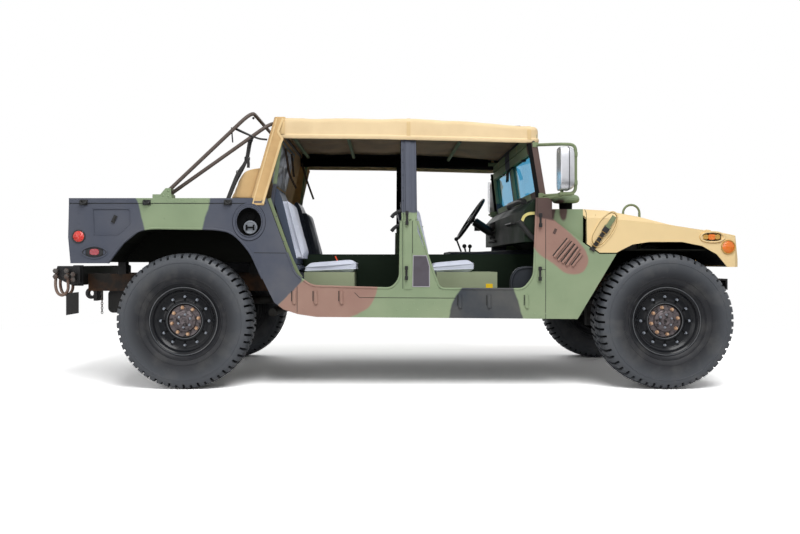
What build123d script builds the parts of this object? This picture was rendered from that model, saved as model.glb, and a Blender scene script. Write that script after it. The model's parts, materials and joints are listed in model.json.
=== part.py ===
"""Army 4x4 car: a doorless soft-top utility truck, built as separate pieces on ten moving bodies.

Millimetres. While a piece is drawn, x runs forward from the rear axle, y to the left and z up from the ground.
The last step shifts every piece along x, so that the origin lies under the middle of the whole vehicle.
"""

import os
from math import cos, radians, sin

from build123d import *

# ---- driving sizes -----------------------------------------------------------------------------------------
WHEELBASE = 3302.0
TRACK = 1828.0  # between the middle planes of the wheels
TYRE_RADIUS = 466.0
TYRE_WIDTH = 318.0
BEAD_RADIUS = 212.0
KINGPIN_INSET = 60.0  # from a wheel's middle plane to its steering axis
BODY_HALF = 1080.0  # half width over the body sides
SIDE_WALL = 45.0
SHEET = 10.0  # floor, firewall and bed sheet
HOOD_SKIN = 10.0
CANVAS = 12.0
RAIL_HEIGHT = 130.0
RAIL_WIDTH = 70.0
RAIL_SPREAD = 790.0  # between the middles of the two frame rails
RAIL_BOTTOM = 652.0
SILL_BOTTOM = 484.0
SILL_TOP = 690.0
BELT = 1304.0  # top of the bed sides
FLOOR = 555.0  # top of the cab floor
TUNNEL_TOP = 930.0
BED_FLOOR = 880.0
REAR_TIP = -1065.0  # back of the rear shackles
FRONT_OVERHANG = 536.0  # front axle to the face of the front bumper
SEAT_GAP = 0.3  # between curved or slanted pieces that bear on each other
PIN_FIT = 0.05  # radial, on a running pin

F = WHEELBASE
AXLE = TYRE_RADIUS
WHEEL_Y = TRACK / 2
KINGPIN_Y = WHEEL_Y - KINGPIN_INSET
INNER = BODY_HALF - SIDE_WALL
RAIL_IN = RAIL_SPREAD / 2 - RAIL_WIDTH / 2
RAIL_OUT = RAIL_SPREAD / 2 + RAIL_WIDTH / 2
RAIL_TOP = RAIL_BOTTOM + RAIL_HEIGHT
TUNNEL_HALF = RAIL_OUT + 20.0
SIDES = (-1, 1)
X_MIDDLE = (F + FRONT_OVERHANG + REAR_TIP) / 2


# ---- helpers -----------------------------------------------------------------------------------------------
def block(x0, x1, y0, y1, z0, z1):
    """Box between two corners."""
    return Pos((x0 + x1) / 2, (y0 + y1) / 2, (z0 + z1) / 2) * Box(x1 - x0, abs(y1 - y0), z1 - z0)


def side_profile(points, y0, y1):
    """Solid with an outline in x and z, between two y values."""
    low, high = min(y0, y1), max(y0, y1)
    outline = Polyline([(x, low, z) for x, z in points], close=True)
    return extrude(make_face(outline), amount=high - low, dir=(0, 1, 0))


def front_profile(points, x0, x1):
    """Solid with an outline in y and z, between two x values."""
    outline = Polyline([(x0, y, z) for y, z in points], close=True)
    return extrude(make_face(outline), amount=x1 - x0, dir=(1, 0, 0))


def plan_profile(points, z0, z1):
    """Solid with an outline in x and y, between two heights."""
    outline = Polyline([(x, y, z0) for x, y in points], close=True)
    return extrude(make_face(outline), amount=z1 - z0, dir=(0, 0, 1))


def rod(start, end, radius):
    """Round bar between two points."""
    way = Vector(end) - Vector(start)
    return extrude(Plane(origin=start, z_dir=way) * Circle(radius), amount=way.length)


def upright(x, y, z0, z1, radius):
    """Upright round bar."""
    return rod((x, y, z0), (x, y, z1), radius)


def cross_pin(x, z, y0, y1, radius):
    """Round bar along y."""
    return rod((x, min(y0, y1), z), (x, max(y0, y1), z), radius)


def bent_tube(points, radius, bend):
    """Round tube along straight runs joined by arcs."""
    path = FilletPolyline(points, radius=bend)
    start = Plane(origin=path @ 0, z_dir=path % 0)
    return sweep(start * Circle(radius), path=path)


def turned(points):
    """Body of revolution about the y axis from an outline of radius and y."""
    outline = Polyline([(radius, y, 0) for radius, y in points], close=True)
    return revolve(make_face(outline), axis=Axis.Y)


def mirrored(shape):
    """The same shape on the other side of the vehicle."""
    return mirror(shape, about=Plane.XZ)


def both_sides(shape):
    """A shape and its mirror image as separate solids."""
    return [shape, mirrored(shape)]


def save(name, *shapes):
    """Write one node, moved so that the origin is under the middle of the vehicle."""
    solids = [solid for shape in shapes for solid in shape.solids()]
    whole = Compound(children=[Pos(-X_MIDDLE, 0, 0) * solid for solid in solids])
    export_step(whole, os.path.join("parts", name + ".step"))


# ---- wheels ------------------------------------------------------------------------------------------------
LUG_COUNT = 20
LUG_WIDTH = 36.0
TREAD_DEPTH = 16.0
FLANGE_RADIUS = 234.0
BARREL_RADIUS = 203.0
DISC_RECESS = 42.0
SPINDLE_RADIUS = 30.0
HUB_START = -16.0  # inner end of the hub, from the wheel's middle plane


def tyre():
    """Lugged tyre on the y axis, its outer side towards +y."""
    half = TYRE_WIDTH / 2
    bead_half = half - 49
    carcass_radius = TYRE_RADIUS - TREAD_DEPTH
    bulge_radius = BEAD_RADIUS + 133
    shoulder_half = half - 16
    wall = [(BEAD_RADIUS, bead_half), (bulge_radius, half), (carcass_radius, shoulder_half)]
    body = turned(wall + [(radius, -y) for radius, y in reversed(wall)])
    lug_points = [
        (8, carcass_radius - 10),
        (8, TYRE_RADIUS),
        (shoulder_half - 8, TYRE_RADIUS),
        (half - 6, carcass_radius - 18),
        (shoulder_half - 3, carcass_radius - 26),
    ]
    lug = front_profile(lug_points, -LUG_WIDTH / 2, LUG_WIDTH / 2)
    pitch = 360 / LUG_COUNT
    outer = [Rot(0, 180 + pitch * i, 0) * lug for i in range(LUG_COUNT)]
    inner = [Rot(0, 180 + pitch * (i + 0.5), 0) * mirrored(lug) for i in range(LUG_COUNT)]
    return body.fuse(*outer, *inner)


def rim():
    """Pressed rim with a recessed disc and a hub bored for the spindle, its outer side towards +y."""
    bead_half = TYRE_WIDTH / 2 - 49
    flange_in = bead_half + 8.4
    flange_out = flange_in + 7.6
    disc_face = flange_out - DISC_RECESS
    barrel = BEAD_RADIUS - SEAT_GAP
    outline = [
        (BARREL_RADIUS, -flange_out),
        (FLANGE_RADIUS, -flange_out),
        (FLANGE_RADIUS, -flange_in),
        (barrel, -flange_in),
        (barrel, flange_in),
        (FLANGE_RADIUS, flange_in),
        (FLANGE_RADIUS, flange_out),
        (BARREL_RADIUS, flange_out),
        (BARREL_RADIUS, disc_face),
        (132, disc_face),
        (132, disc_face + 8),
        (118, disc_face + 8),
        (118, disc_face),
        (78, disc_face),
        (66, disc_face + 26),
        (0, disc_face + 30),
        (0, 58 + 2),
        (SPINDLE_RADIUS + PIN_FIT, 58 + 2),
        (SPINDLE_RADIUS + PIN_FIT, HUB_START),
        (70, HUB_START),
        (70, disc_face - 14),
        (BARREL_RADIUS, disc_face - 14),
    ]
    return turned(outline)


def at_wheel(shape, x, side):
    """Place a piece drawn about the wheel's own middle."""
    turned_out = shape if side > 0 else mirrored(shape)
    return Pos(x, side * WHEEL_Y, AXLE) * turned_out


# ---- knuckles and hub carriers -----------------------------------------------------------------------------
KNUCKLE_RADIUS = 38.0
KNUCKLE_HALF = 92.0
KINGPIN_RADIUS = 14.0
STEER_ARM = 120.0  # kingpin to the end of the steering arm, along x
ARM_LOW = -82.0
ARM_HIGH = -58.0


def hub_carrier():
    """Upright carrier with its spindle, about the wheel's middle, its outer side towards +y."""
    y = -KINGPIN_INSET
    body = upright(0, y, -KNUCKLE_HALF, KNUCKLE_HALF, KNUCKLE_RADIUS)
    flange = cross_pin(0, 0, y, HUB_START - 6, 66) & block(-66, 66, y, HUB_START - 6, -66, 66)
    return body + flange + cross_pin(0, 0, y, 58, SPINDLE_RADIUS)


def knuckle():
    """Steered hub carrier with kingpin stubs and a steering arm that points backwards."""
    y = -KINGPIN_INSET
    pin_half = KNUCKLE_HALF + ARM_BOSS + 2
    arm = block(-STEER_ARM, 0, y - 18, y + 18, ARM_LOW, ARM_HIGH)
    arm += upright(-STEER_ARM, y, ARM_LOW, ARM_HIGH, 18)
    return hub_carrier() + upright(0, y, -pin_half, pin_half, KINGPIN_RADIUS) + arm


ROD_RADIUS = 14.0
ROD_X = F - STEER_ARM
EYE_HALF = 16.0  # half height of the eyes at the ends of the steering rod
ROD_Z = AXLE + ARM_HIGH + 6 + EYE_HALF


# ---- suspension --------------------------------------------------------------------------------------------
ARM_BOSS = 30.0  # height of an arm's end boss and thickness of the arm
ARM_FREE = 5.5  # between a knuckle's end and the boss
LOWER_SPREAD = 175.0
UPPER_SPREAD = 60.0
LEG = 36.0
SPRING_X = 130.0
SPRING_Y = 560.0
SPRING_RADIUS = 48.0
SHELF = 742.0
BRACKET_HALF = 15.0


def control_arm(x, side, up, spread, steered):
    """One A-shaped arm from the frame bracket to the boss round the kingpin."""
    near = up * (KNUCKLE_HALF + (ARM_FREE if steered else 0))
    low = AXLE + min(near, near + up * ARM_BOSS)
    high = low + ARM_BOSS
    y_out = side * KINGPIN_Y
    y_in = side * RAIL_OUT
    shape = upright(x, y_out, low, high, 30)
    for turn in (-1, 1):
        leg = [
            (x + turn * (spread - LEG / 2), y_in),
            (x + turn * (spread + LEG / 2), y_in),
            (x + turn * 28, y_out),
            (x - turn * 8, y_out),
        ]
        shape += plan_profile(leg, low, high)
    if steered:
        shape -= upright(x, y_out, low - 1, high + 1, KINGPIN_RADIUS + PIN_FIT)
    return shape


def suspension_arms():
    """Four arms at each axle."""
    arms = []
    for x, steered in ((0.0, False), (F, True)):
        for side in SIDES:
            for up, spread in ((-1, LOWER_SPREAD), (1, UPPER_SPREAD)):
                arms.append(control_arm(x, side, up, spread, steered))
    return arms


def suspension_brackets():
    """Plates under the rails that carry the arms, bored at the front for the steering rod."""
    pieces = []
    low = AXLE - KNUCKLE_HALF - ARM_FREE - ARM_BOSS - 10
    for x in (0.0, F):
        for side in SIDES:
            for turn in (-1, 1):
                y0, y1 = side * RAIL_IN, side * RAIL_OUT
                foot = x + turn * (UPPER_SPREAD + LOWER_SPREAD) / 2
                width = (LOWER_SPREAD - UPPER_SPREAD) / 2 + BRACKET_HALF + 4
                plate = block(foot - width, foot + width, y0, y1, low, RAIL_BOTTOM)
                bore = cross_pin(ROD_X, ROD_Z, side * RAIL_IN, side * RAIL_OUT, ROD_RADIUS + PIN_FIT)
                pieces.append(plate - bore)
    return pieces


def springs():
    """Spring and damper units between the lower arms and shelves on the rails."""
    units = []
    for x, turn, steered in ((0.0, -1, False), (F, 1, True)):
        seat = AXLE - KNUCKLE_HALF - (ARM_FREE if steered else 0)
        for side in SIDES:
            px, py = x + turn * SPRING_X, side * SPRING_Y
            coil = upright(px, py, seat + SEAT_GAP + 20, SHELF - 20, SPRING_RADIUS)
            ends = upright(px, py, seat + SEAT_GAP, SHELF, 24)
            shelf = block(px - 50, px + 50, side * RAIL_OUT, side * (SPRING_Y + 52), SHELF, SHELF + 12)
            units.append(coil + ends + shelf)
    return units


# ---- steering ----------------------------------------------------------------------------------------------
def steering_rod():
    """Relay rod with an eye at each end, above the knuckles' arms."""
    y = KINGPIN_Y
    shape = cross_pin(ROD_X, ROD_Z, -y, y, ROD_RADIUS)
    for side in SIDES:
        shape += upright(ROD_X, side * y, ROD_Z - EYE_HALF, ROD_Z + EYE_HALF, 22)
    return shape


WHEEL_CENTRE = (F - 1167.0, 550.0, 1251.0)
COLUMN_TILT = 33.5
WHEEL_RING = 200.0
DASH_FACE = F - 972.0


def along_column(distance):
    """Point on the steering column's axis, measured from the wheel's middle towards the dash."""
    x, y, z = WHEEL_CENTRE
    return (x + distance * cos(radians(COLUMN_TILT)), y, z - distance * sin(radians(COLUMN_TILT)))


def steering_wheel():
    """Ring with three spokes and a bored hub."""
    plane = Plane(origin=WHEEL_CENTRE, z_dir=Vector(along_column(1)) - Vector(WHEEL_CENTRE))
    shape = plane * Torus(WHEEL_RING, 13)
    for turn in (90, 210, 330):
        tip = plane * Pos(WHEEL_RING * cos(radians(turn)), WHEEL_RING * sin(radians(turn)), 0)
        shape += rod(along_column(10), tip.position, 9)
    shape += rod(along_column(-12), along_column(30), 32)
    return shape - rod(along_column(6), along_column(31), 10 + PIN_FIT)


def steering_column():
    """Column from the dash, with the shaft that carries the wheel."""
    shape = rod(along_column(36), along_column(260), 26) + rod(along_column(8), along_column(60), 10)
    return shape - block(DASH_FACE - SEAT_GAP, DASH_FACE + 200, 400, 700, 900, 1300)


# ---- frame and driveline -----------------------------------------------------------------------------------
RAIL_REAR = -876.0
RAIL_FRONT = F + FRONT_OVERHANG - 79
CROSS_X = (-840.0, -500.0, 300.0, 1500.0, F + 178.0)
CROSS_WIDTH = 80.0
DIFF_Z = AXLE + 94
SHAFT_Z = AXLE + 60


def frame_rails():
    """Two box rails."""
    return [block(RAIL_REAR, RAIL_FRONT, s * RAIL_IN, s * RAIL_OUT, RAIL_BOTTOM, RAIL_TOP) for s in SIDES]


def frame_crossmembers():
    """Straight members between the rails."""
    low, high = RAIL_BOTTOM + 8, RAIL_TOP - 12
    return [block(x, x + CROSS_WIDTH, -RAIL_IN, RAIL_IN, low, high) for x in CROSS_X]


def front_bumper():
    """Channel beam with two tow eyes and the hood's hinge lugs."""
    x0, x1 = RAIL_FRONT, RAIL_FRONT + 79
    beam = block(x0, x1, -760, 760, 672, 751) - block(x0 + 12, x1 - 12, -760, 760, 672 - 1, 739)
    for lug in hood_lugs():
        beam += lug
    return beam


def rear_bumper():
    """Beam across the rails with a pintle and two shackles."""
    beam = block(RAIL_REAR - 62, RAIL_REAR, -760, 760, 700, 842)
    pintle = block(RAIL_REAR - 92, RAIL_REAR - 62, -70, 70, 560, 740)
    pintle += cross_pin(RAIL_REAR - 120, 620, -24, 24, 46) - cross_pin(RAIL_REAR - 120, 620, -30, 30, 22)
    plate = block(RAIL_REAR - 40, RAIL_REAR - 16, -330, -250, 477, 700)
    shackles = []
    for side in SIDES:
        y = side * 600
        x_eye = REAR_TIP + 40
        bow = cross_pin(x_eye, 757, y - 16, y + 16, 40) - cross_pin(x_eye, 757, y - 20, y + 20, 24)
        lug = block(x_eye + 30, RAIL_REAR - 62, y - 14, y + 14, 735, 779)
        shackles.append(bow + lug)
    whole = beam + pintle + plate
    for shackle in shackles:
        whole += shackle
    return whole


def engine_block():
    """Plain block for the engine, on two mounts."""
    shape = block(F - 600, F + 30, -290, 290, 672, 1100)
    for side in SIDES:
        shape += block(F - 400, F - 320, side * 280, side * RAIL_IN, 690, 750)
    return shape


def driveline():
    """Gearbox with transfer case, two propeller shafts and two differentials with their half shafts."""
    pieces = []
    gearbox = rod((F - 580, 0, 770), (F - 1150, 0, 740), 135)
    gearbox += block(F - 1520, F - 1120, -150, 150, 540, 800)
    gearbox -= block(F - 600, F - 500, -200, 200, 600, 950)
    pieces.append(gearbox)
    for x, turn in ((0.0, 1), (F, -1)):
        diff = cross_pin(x, DIFF_Z, -130, 130, 92) + rod((x, 0, DIFF_Z), (x + turn * 170, 0, DIFF_Z), 48)
        for side in SIDES:
            diff += rod((x, side * 100, DIFF_Z), (x, side * (KINGPIN_Y - KNUCKLE_RADIUS - 8), SHAFT_Z), 20)
            diff += rod((x, side * 120, DIFF_Z - 2), (x, side * 210, DIFF_Z - 7), 42)
        pieces.append(diff)
    pieces.append(rod((170.4, 0, DIFF_Z), (F - 1520.6, 0, 600), 32))
    pieces.append(rod((F - 170.4, 0, DIFF_Z), (F - 1119.0, 0, 575), 28))
    return pieces


def fuel_tank():
    """Tank under the bed, between the rails."""
    return fillet(block(-760, -240, -330, 330, 480, RAIL_BOTTOM + 8).edges().filter_by(Axis.Y), 40)


def exhaust():
    """Pipe, silencer and tail pipe, on a hanger under a crossmember."""
    route = [(F - 640, -235, 600), (1650, -235, 560), (760, -235, 540), (600, -420, 520), (560, -690, 505)]
    pipe = bent_tube(route, 30, 90)
    pipe += rod((1600, -235, 559), (950, -235, 545), 72)
    return pipe + block(1520, 1550, -250, -220, 600, RAIL_BOTTOM + 8)


def radiator():
    """Radiator on the front crossmember."""
    return block(F + 178, F + 258, -330, 330, RAIL_TOP - 12, 1050)


def lift_brackets():
    """Upright straps on the rails with a lifting ring at the top."""
    pieces = []
    for side in SIDES:
        y_mid = side * (RAIL_OUT - 14)
        strap = block(F - 92, F - 16, y_mid - 12, y_mid + 12, RAIL_TOP, 1235)
        ring = Pos(F - 54, y_mid, 1256) * (Rot(90, 0, 0) * Torus(50, 12))
        pieces.append(strap + ring)
    return pieces


# ---- cab ---------------------------------------------------------------------------------------------------
TOE_BOARD = F - 632.0
COWL_FRONT = F - 792.0
BULKHEAD_POINTS = [
    (708, FLOOR - SHEET),
    (720, FLOOR - SHEET),
    (592, BED_FLOOR),
    (572, 1300),
    (560, 1300),
    (580, BED_FLOOR),
]


def cab_side(side):
    """Sill, pillar feet and cowl side in one pressing as thick as the whole side."""
    points = [
        (465, 933),
        (545, 757),
        (625, 597),
        (689, 549),
        (786, 517),
        (913, 498),
        (F - 619, SILL_BOTTOM),
        (F - 355, 926),
        (F - 471, 926),
        (F - 567, 992),
        (COWL_FRONT, 1163),
        (COWL_FRONT, 1307),
        (F - 893, 1307),
        (F - 914, 773),
        (F - 982, SILL_TOP - 5),
        (1743, SILL_TOP - 2),
        (1719, 762),
        (1665, 910),
        (1597, 1080),
        (1597, 1151),
        (1485, 1151),
        (1480, 759),
        (1425, SILL_TOP),
        (879, SILL_TOP + 17),
        (767, 785),
        (710, 933),
    ]
    return side_profile(points, side * INNER, side * BODY_HALF)


def cab_floor():
    """Two floor pans and the tunnel over the driveline."""
    x0, x1 = 720, TOE_BOARD
    low = FLOOR - SHEET
    shape = block(x0, x1, -TUNNEL_HALF, TUNNEL_HALF, TUNNEL_TOP - SHEET, TUNNEL_TOP)
    for side in SIDES:
        shape += block(x0, x1, side * (TUNNEL_HALF - SHEET), side * TUNNEL_HALF, low, TUNNEL_TOP)
        shape += block(x0, x1, side * (TUNNEL_HALF - SHEET), side * INNER, low, FLOOR)
    return shape


def firewall():
    """Bent sheet from the windshield down to the toe board, open over the driveline."""
    points = [
        (F - 893, 1300),
        (F - 893, 1310),
        (COWL_FRONT, 1310),
        (COWL_FRONT, 1105),
        (TOE_BOARD + SHEET, 965),
        (TOE_BOARD + SHEET, FLOOR - SHEET),
        (TOE_BOARD, FLOOR - SHEET),
        (TOE_BOARD, 960),
        (COWL_FRONT - SHEET, 1100),
        (COWL_FRONT - SHEET, 1300),
    ]
    sheet = side_profile(points, -INNER, INNER)
    mouth = TUNNEL_HALF - SHEET
    return sheet - block(TOE_BOARD - 5, TOE_BOARD + 20, -mouth, mouth, 400, TUNNEL_TOP - SHEET)


def dash():
    """Instrument panel under the windshield."""
    rear = F - 805
    points = [(DASH_FACE, 1010), (DASH_FACE, 1225), (F - 910, 1292)]
    points += [(rear, 1292), (rear, 1130), (F - 870, 1010)]
    return side_profile(points, -INNER + SEAT_GAP, INNER - SEAT_GAP)


def cowl_boxes():
    """Box at each rear corner of the hood, on the sloping part of the firewall."""
    points = [
        (COWL_FRONT + SEAT_GAP, 1232),
        (F - 572, 1232),
        (F - 572, 1000),
        (TOE_BOARD + SHEET + SEAT_GAP, 966),
        (COWL_FRONT + SEAT_GAP, 1106),
    ]
    return both_sides(side_profile(points, BODY_HALF - 290, INNER))


def air_intake():
    """Rain cap and neck on the right corner box."""
    x, y = F - 662, -(BODY_HALF - 170)
    cap = upright(x, y, 1276, 1318, 95) + Pos(x, y, 1318 + 11) * Cone(95, 60, 22)
    return cap + upright(x, y, 1232, 1290, 41)


def rear_bulkhead():
    """Sloping sheet behind the rear seats, open over the driveline."""
    sheet = side_profile(BULKHEAD_POINTS, -INNER, INNER)
    mouth = TUNNEL_HALF
    return sheet - block(500, 800, -mouth, mouth, 400, BED_FLOOR - SHEET)


# ---- bed ---------------------------------------------------------------------------------------------------
TAILGATE_X = -735.0
TAILGATE_Z = 890.0
TAILGATE_THICK = 30.0
HINGE_PIN = 8.0
WELL_HALF = WHEEL_Y - TYRE_WIDTH / 2 - 35  # inner wall of a wheelhouse, from the middle
ARCH = [
    (-506, 862),
    (-474, 908),
    (-403, 999),
    (-299, 1083),
    (-214, 1100),
    (225, 1094),
    (321, 1077),
    (385, 1029),
    (465, 933),
]
FILLER = (455.0, 1144.0)
FILLER_RADIUS = 98.0
MARKER_RADIUS = 41.0
LAMP_POCKET = 8.0
PANEL = [(-607, 1233), (-350, 1233), (-350, 1129), (-434, 1054), (-597, 1054)]
PANEL_DEPTH = 4.0
BOW_FOOT = BELT + 26  # top of the brackets that hold the cargo bows
BOW_BRACKET_IN = BODY_HALF - 95


def bed_side(side):
    """Rear quarter panel with the wheel arch, lamp pockets and, on the right, the filler's hole."""
    points = [(-766, BELT), (-772, 1038), (-756, 862)] + ARCH + [(710, 933), (572, BELT)]
    shape = side_profile(points, side * INNER, side * BODY_HALF)
    face = side * BODY_HALF
    shape -= cross_pin(-699, 1044, face - side * LAMP_POCKET, face + side, MARKER_RADIUS)
    shape -= block(-594 - 60, -594 + 60, face - side * LAMP_POCKET, face + side, 937 - 30, 937 + 30)
    shape -= cross_pin(TAILGATE_X, TAILGATE_Z, side * (INNER - 1), side * (INNER + 20), HINGE_PIN + PIN_FIT)
    shape -= side_profile(PANEL, face - side * PANEL_DEPTH, face + side)
    if side < 0:
        shape -= cross_pin(*FILLER, -INNER + 1, face - 1, FILLER_RADIUS)
    return shape + block(-200, -70, side * BOW_BRACKET_IN, face, BELT - 1, BOW_FOOT)


def side_lamps():
    """Round marker and oblong lamp in the pockets of each bed side."""
    lamps = []
    for side in SIDES:
        floor = side * (BODY_HALF - LAMP_POCKET)
        top = side * (BODY_HALF + 6)
        lamps.append(cross_pin(-699, 1044, floor, top, MARKER_RADIUS - SEAT_GAP))
        lamps.append(block(-594 - 59.7, -594 + 59.7, floor, side * (BODY_HALF - 1), 937 - 29.7, 937 + 29.7))
    return lamps


def fuel_filler():
    """Cup in the right rear quarter with its cap."""
    x, z = FILLER
    cup = cross_pin(x, z, -INNER, -BODY_HALF, FILLER_RADIUS - SEAT_GAP)
    cup -= cross_pin(x, z, -INNER - 4, -BODY_HALF - 1, FILLER_RADIUS - 22)
    return cup + cross_pin(x, z, -INNER, -BODY_HALF + 6, 48)


def bed_floor():
    """Load floor, cut out over the wheels."""
    x0, x1 = -708, 580 - SEAT_GAP
    shape = block(x0, x1, -INNER, INNER, BED_FLOOR - SHEET, BED_FLOOR)
    for side in SIDES:
        shape -= block(-520, 497, side * (WELL_HALF - SHEET), side * (INNER + 1), 800, 900)
    return shape


def bed_mounts():
    """Blocks between the rails and the load floor."""
    mounts = []
    for x in (-650, 350):
        for side in SIDES:
            mounts.append(block(x, x + 60, side * RAIL_IN, side * RAIL_OUT, RAIL_TOP, BED_FLOOR - SHEET))
    return mounts


WELL_LOW = 870.0
WELL_OUTER = [
    (-520, WELL_LOW),
    (-482, 922),
    (-411, 1012),
    (-304, 1094),
    (-214, 1110),
    (225, 1104),
    (326, 1087),
    (394, 1035),
    (475, 937),
    (497, WELL_LOW),
]
WELL_INNER = [
    (-508, WELL_LOW),
    (-474, 912),
    (-403, 1003),
    (-299, 1083),
    (-214, 1100),
    (225, 1094),
    (321, 1077),
    (385, 1029),
    (465, 931),
    (487, WELL_LOW),
]


def wheelhouses():
    """Sheet wells over the rear wheels."""
    shell = side_profile(WELL_OUTER, WELL_HALF - SHEET, INNER) - side_profile(WELL_INNER, WELL_HALF, INNER)
    return both_sides(shell)


def tailgate():
    """Drop tailgate with a pressed panel and a hinge pin at each lower corner."""
    half = INNER - 5
    x0, x1 = TAILGATE_X - TAILGATE_THICK / 2, TAILGATE_X + TAILGATE_THICK / 2
    low = TAILGATE_Z - 10
    shape = block(x0, x1, -half, half, low, 1290)
    shape -= block(x0 - 1, x0 + 10, -half + 110, half - 110, low + 90, 1290 - 90)
    return shape + cross_pin(TAILGATE_X, TAILGATE_Z, -half - 20, half + 20, HINGE_PIN)


def cargo_bows():
    """Two folded hoops over the bed, standing on the brackets of the bed sides."""
    foot = BOW_FOOT
    table = (
        # foot x, foot y, top x, top y, top z
        (-155, BODY_HALF - 24, 450, BODY_HALF - 80, 1894),
        (-110, BODY_HALF - 68, 556, BODY_HALF - 130, 1838),
    )
    hoops = []
    for foot_x, foot_y, top_x, top_y, top_z in table:
        slope = (top_x - foot_x) / (top_z - foot)
        start_x = foot_x - slope * 30
        points = [(start_x, -foot_y, foot - 30), (top_x, -top_y, top_z)]
        points += [(x, -y, z) for x, y, z in reversed(points)]
        hoop = bent_tube(points, 18, 110)
        hoops.append(hoop - block(-400, 100, -1200, 1200, BELT - 100, foot + SEAT_GAP))
    return hoops


# ---- windshield and top ------------------------------------------------------------------------------------
SHIELD_FOOT = (F - 842.0, 1310.0)
SHIELD_LEAN = 7.6
SHIELD_HEIGHT = 388.0
SHIELD_THICK = 50.0
SHIELD_LOW_HALF = BODY_HALF - 68
SHIELD_TOP_HALF = BODY_HALF - 130
SHIELD_MARGIN = 52.0  # between a pane and the outer edge of the frame
GLASS_THICK = 8.0
ROOF_LINE = [(610, 1866), (1621, 1860), (1848, 1848), (F - 881, 1814), (F - 855, 1782)]
SKIRT_LINE = [(F - 855, 1706), (F - 948, 1700), (F - 1370, 1713), (1343, 1730), (681, 1736)]
ROOF_HALF = BODY_HALF - 140
BOW_X = (F - 1338.0, 1541.0, 1092.0, 671.0)
BOW_RADIUS = 14.0
RAIL_BAR = 30.0
RAIL_Y = ROOF_HALF - 48


def pane_outline():
    """Corners of the right-hand pane, from the slanted edge of the frame."""
    low, top = 58.0, SHIELD_HEIGHT - 58
    taper = (SHIELD_TOP_HALF - SHIELD_LOW_HALF) / SHIELD_HEIGHT
    reach = [SHIELD_LOW_HALF + taper * z - SHIELD_MARGIN for z in (low, top)]
    return [(38, low), (reach[0], low), (reach[1], top), (38, top)]


def in_shield(points, thick, shift=0.0):
    """Plate in the leaning plane of the windshield, from an outline of y and height."""
    plate = front_profile(points, -thick / 2 + shift, thick / 2 + shift)
    return Pos(SHIELD_FOOT[0], 0, SHIELD_FOOT[1]) * (Rot(0, -SHIELD_LEAN, 0) * plate)


def shield_outline(grow):
    """Outer corners of the windshield frame."""
    low, top = SHIELD_LOW_HALF + grow, SHIELD_TOP_HALF + grow
    return [(-low, -20), (low, -20), (top, SHIELD_HEIGHT + grow), (-top, SHIELD_HEIGHT + grow)]


def windshield_frame():
    """Leaning frame with two openings and a middle post."""
    shape = in_shield(shield_outline(0), SHIELD_THICK)
    for side in SIDES:
        shape -= in_shield([(side * y, z) for y, z in pane_outline()], SHIELD_THICK + 2)
    x, z = SHIELD_FOOT
    return shape - block(x - 200, x + 200, -1200, 1200, z - 60, z)


def windshield_glass():
    """Two panes in the frame's openings."""
    inset = SEAT_GAP
    (y0, z0), (y1, _), (y2, z2), _ = pane_outline()
    pane = [(y0 + inset, z0 + inset), (y1 - 2 * inset, z0 + inset)]
    pane += [(y2 - inset, z2 - inset), (y0 + inset, z2 - inset)]
    return [in_shield([(side * y, z) for y, z in pane], GLASS_THICK) for side in SIDES]


def roof_height(x):
    """Height of the roof's outer face at x."""
    for (x0, z0), (x1, z1) in zip(ROOF_LINE, ROOF_LINE[1:]):
        if x0 <= x <= x1:
            return z0 + (z1 - z0) * (x - x0) / (x1 - x0)
    return ROOF_LINE[0][1]


def bow_bottom(x):
    """Height of a roof bow's underside."""
    return roof_height(x) - CANVAS - 2 * BOW_RADIUS - 2 * SEAT_GAP


def rail_top(x):
    """Height of a roof rail's upper face, straight under the first and the last bow."""
    x0, x1 = BOW_X[-1], BOW_X[0]
    z0, z1 = bow_bottom(x0) - 2, bow_bottom(x1) - 2
    return z0 + (z1 - z0) * (x - x0) / (x1 - x0)


WINDOW_LOW = 1420.0
WINDOW_TOP = 1720.0
WINDOW_HALF = ROOF_HALF - 510
BUNDLE = [(335, 1312), (345, 1420), (412, 1500), (470, 1510), (524, 1508), (476, 1312)]
HEADER = (F - 917.0, F - 867.0)
LEAN = radians(SHIELD_LEAN)
SHIELD_TOP_Z = SHIELD_FOOT[1] + SHIELD_HEIGHT * cos(LEAN) + SHIELD_THICK / 2 * sin(LEAN)


def roof_rails():
    """Two rails and the header bar over the windshield."""
    x0, x1 = 640, HEADER[0] + 30
    pieces = []
    for side in SIDES:
        points = [(x0, rail_top(x0) - RAIL_BAR), (x0, rail_top(x0))]
        points += [(x1, rail_top(x1)), (x1, rail_top(x1) - RAIL_BAR)]
        pieces.append(side_profile(points, side * (RAIL_Y - 15), side * (RAIL_Y + 15)))
    top = rail_top(x1) - RAIL_BAR - SEAT_GAP
    header_half = ROOF_HALF - 15
    pieces.append(block(HEADER[0], HEADER[1], -header_half, header_half, SHIELD_TOP_Z + SEAT_GAP, top))
    return pieces


def roof_bows():
    """Cross bows under the canvas, each on two feet."""
    bows = []
    for x in BOW_X:
        z = bow_bottom(x) + BOW_RADIUS
        bow = cross_pin(x, z, -ROOF_HALF + 30, ROOF_HALF - 30, BOW_RADIUS)
        for side in SIDES:
            low = rail_top(x) + 2 * SEAT_GAP
            bow += block(x - 12, x + 12, side * (RAIL_Y - 12), side * (RAIL_Y + 12), low, z)
        bows.append(bow)
    return bows


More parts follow.
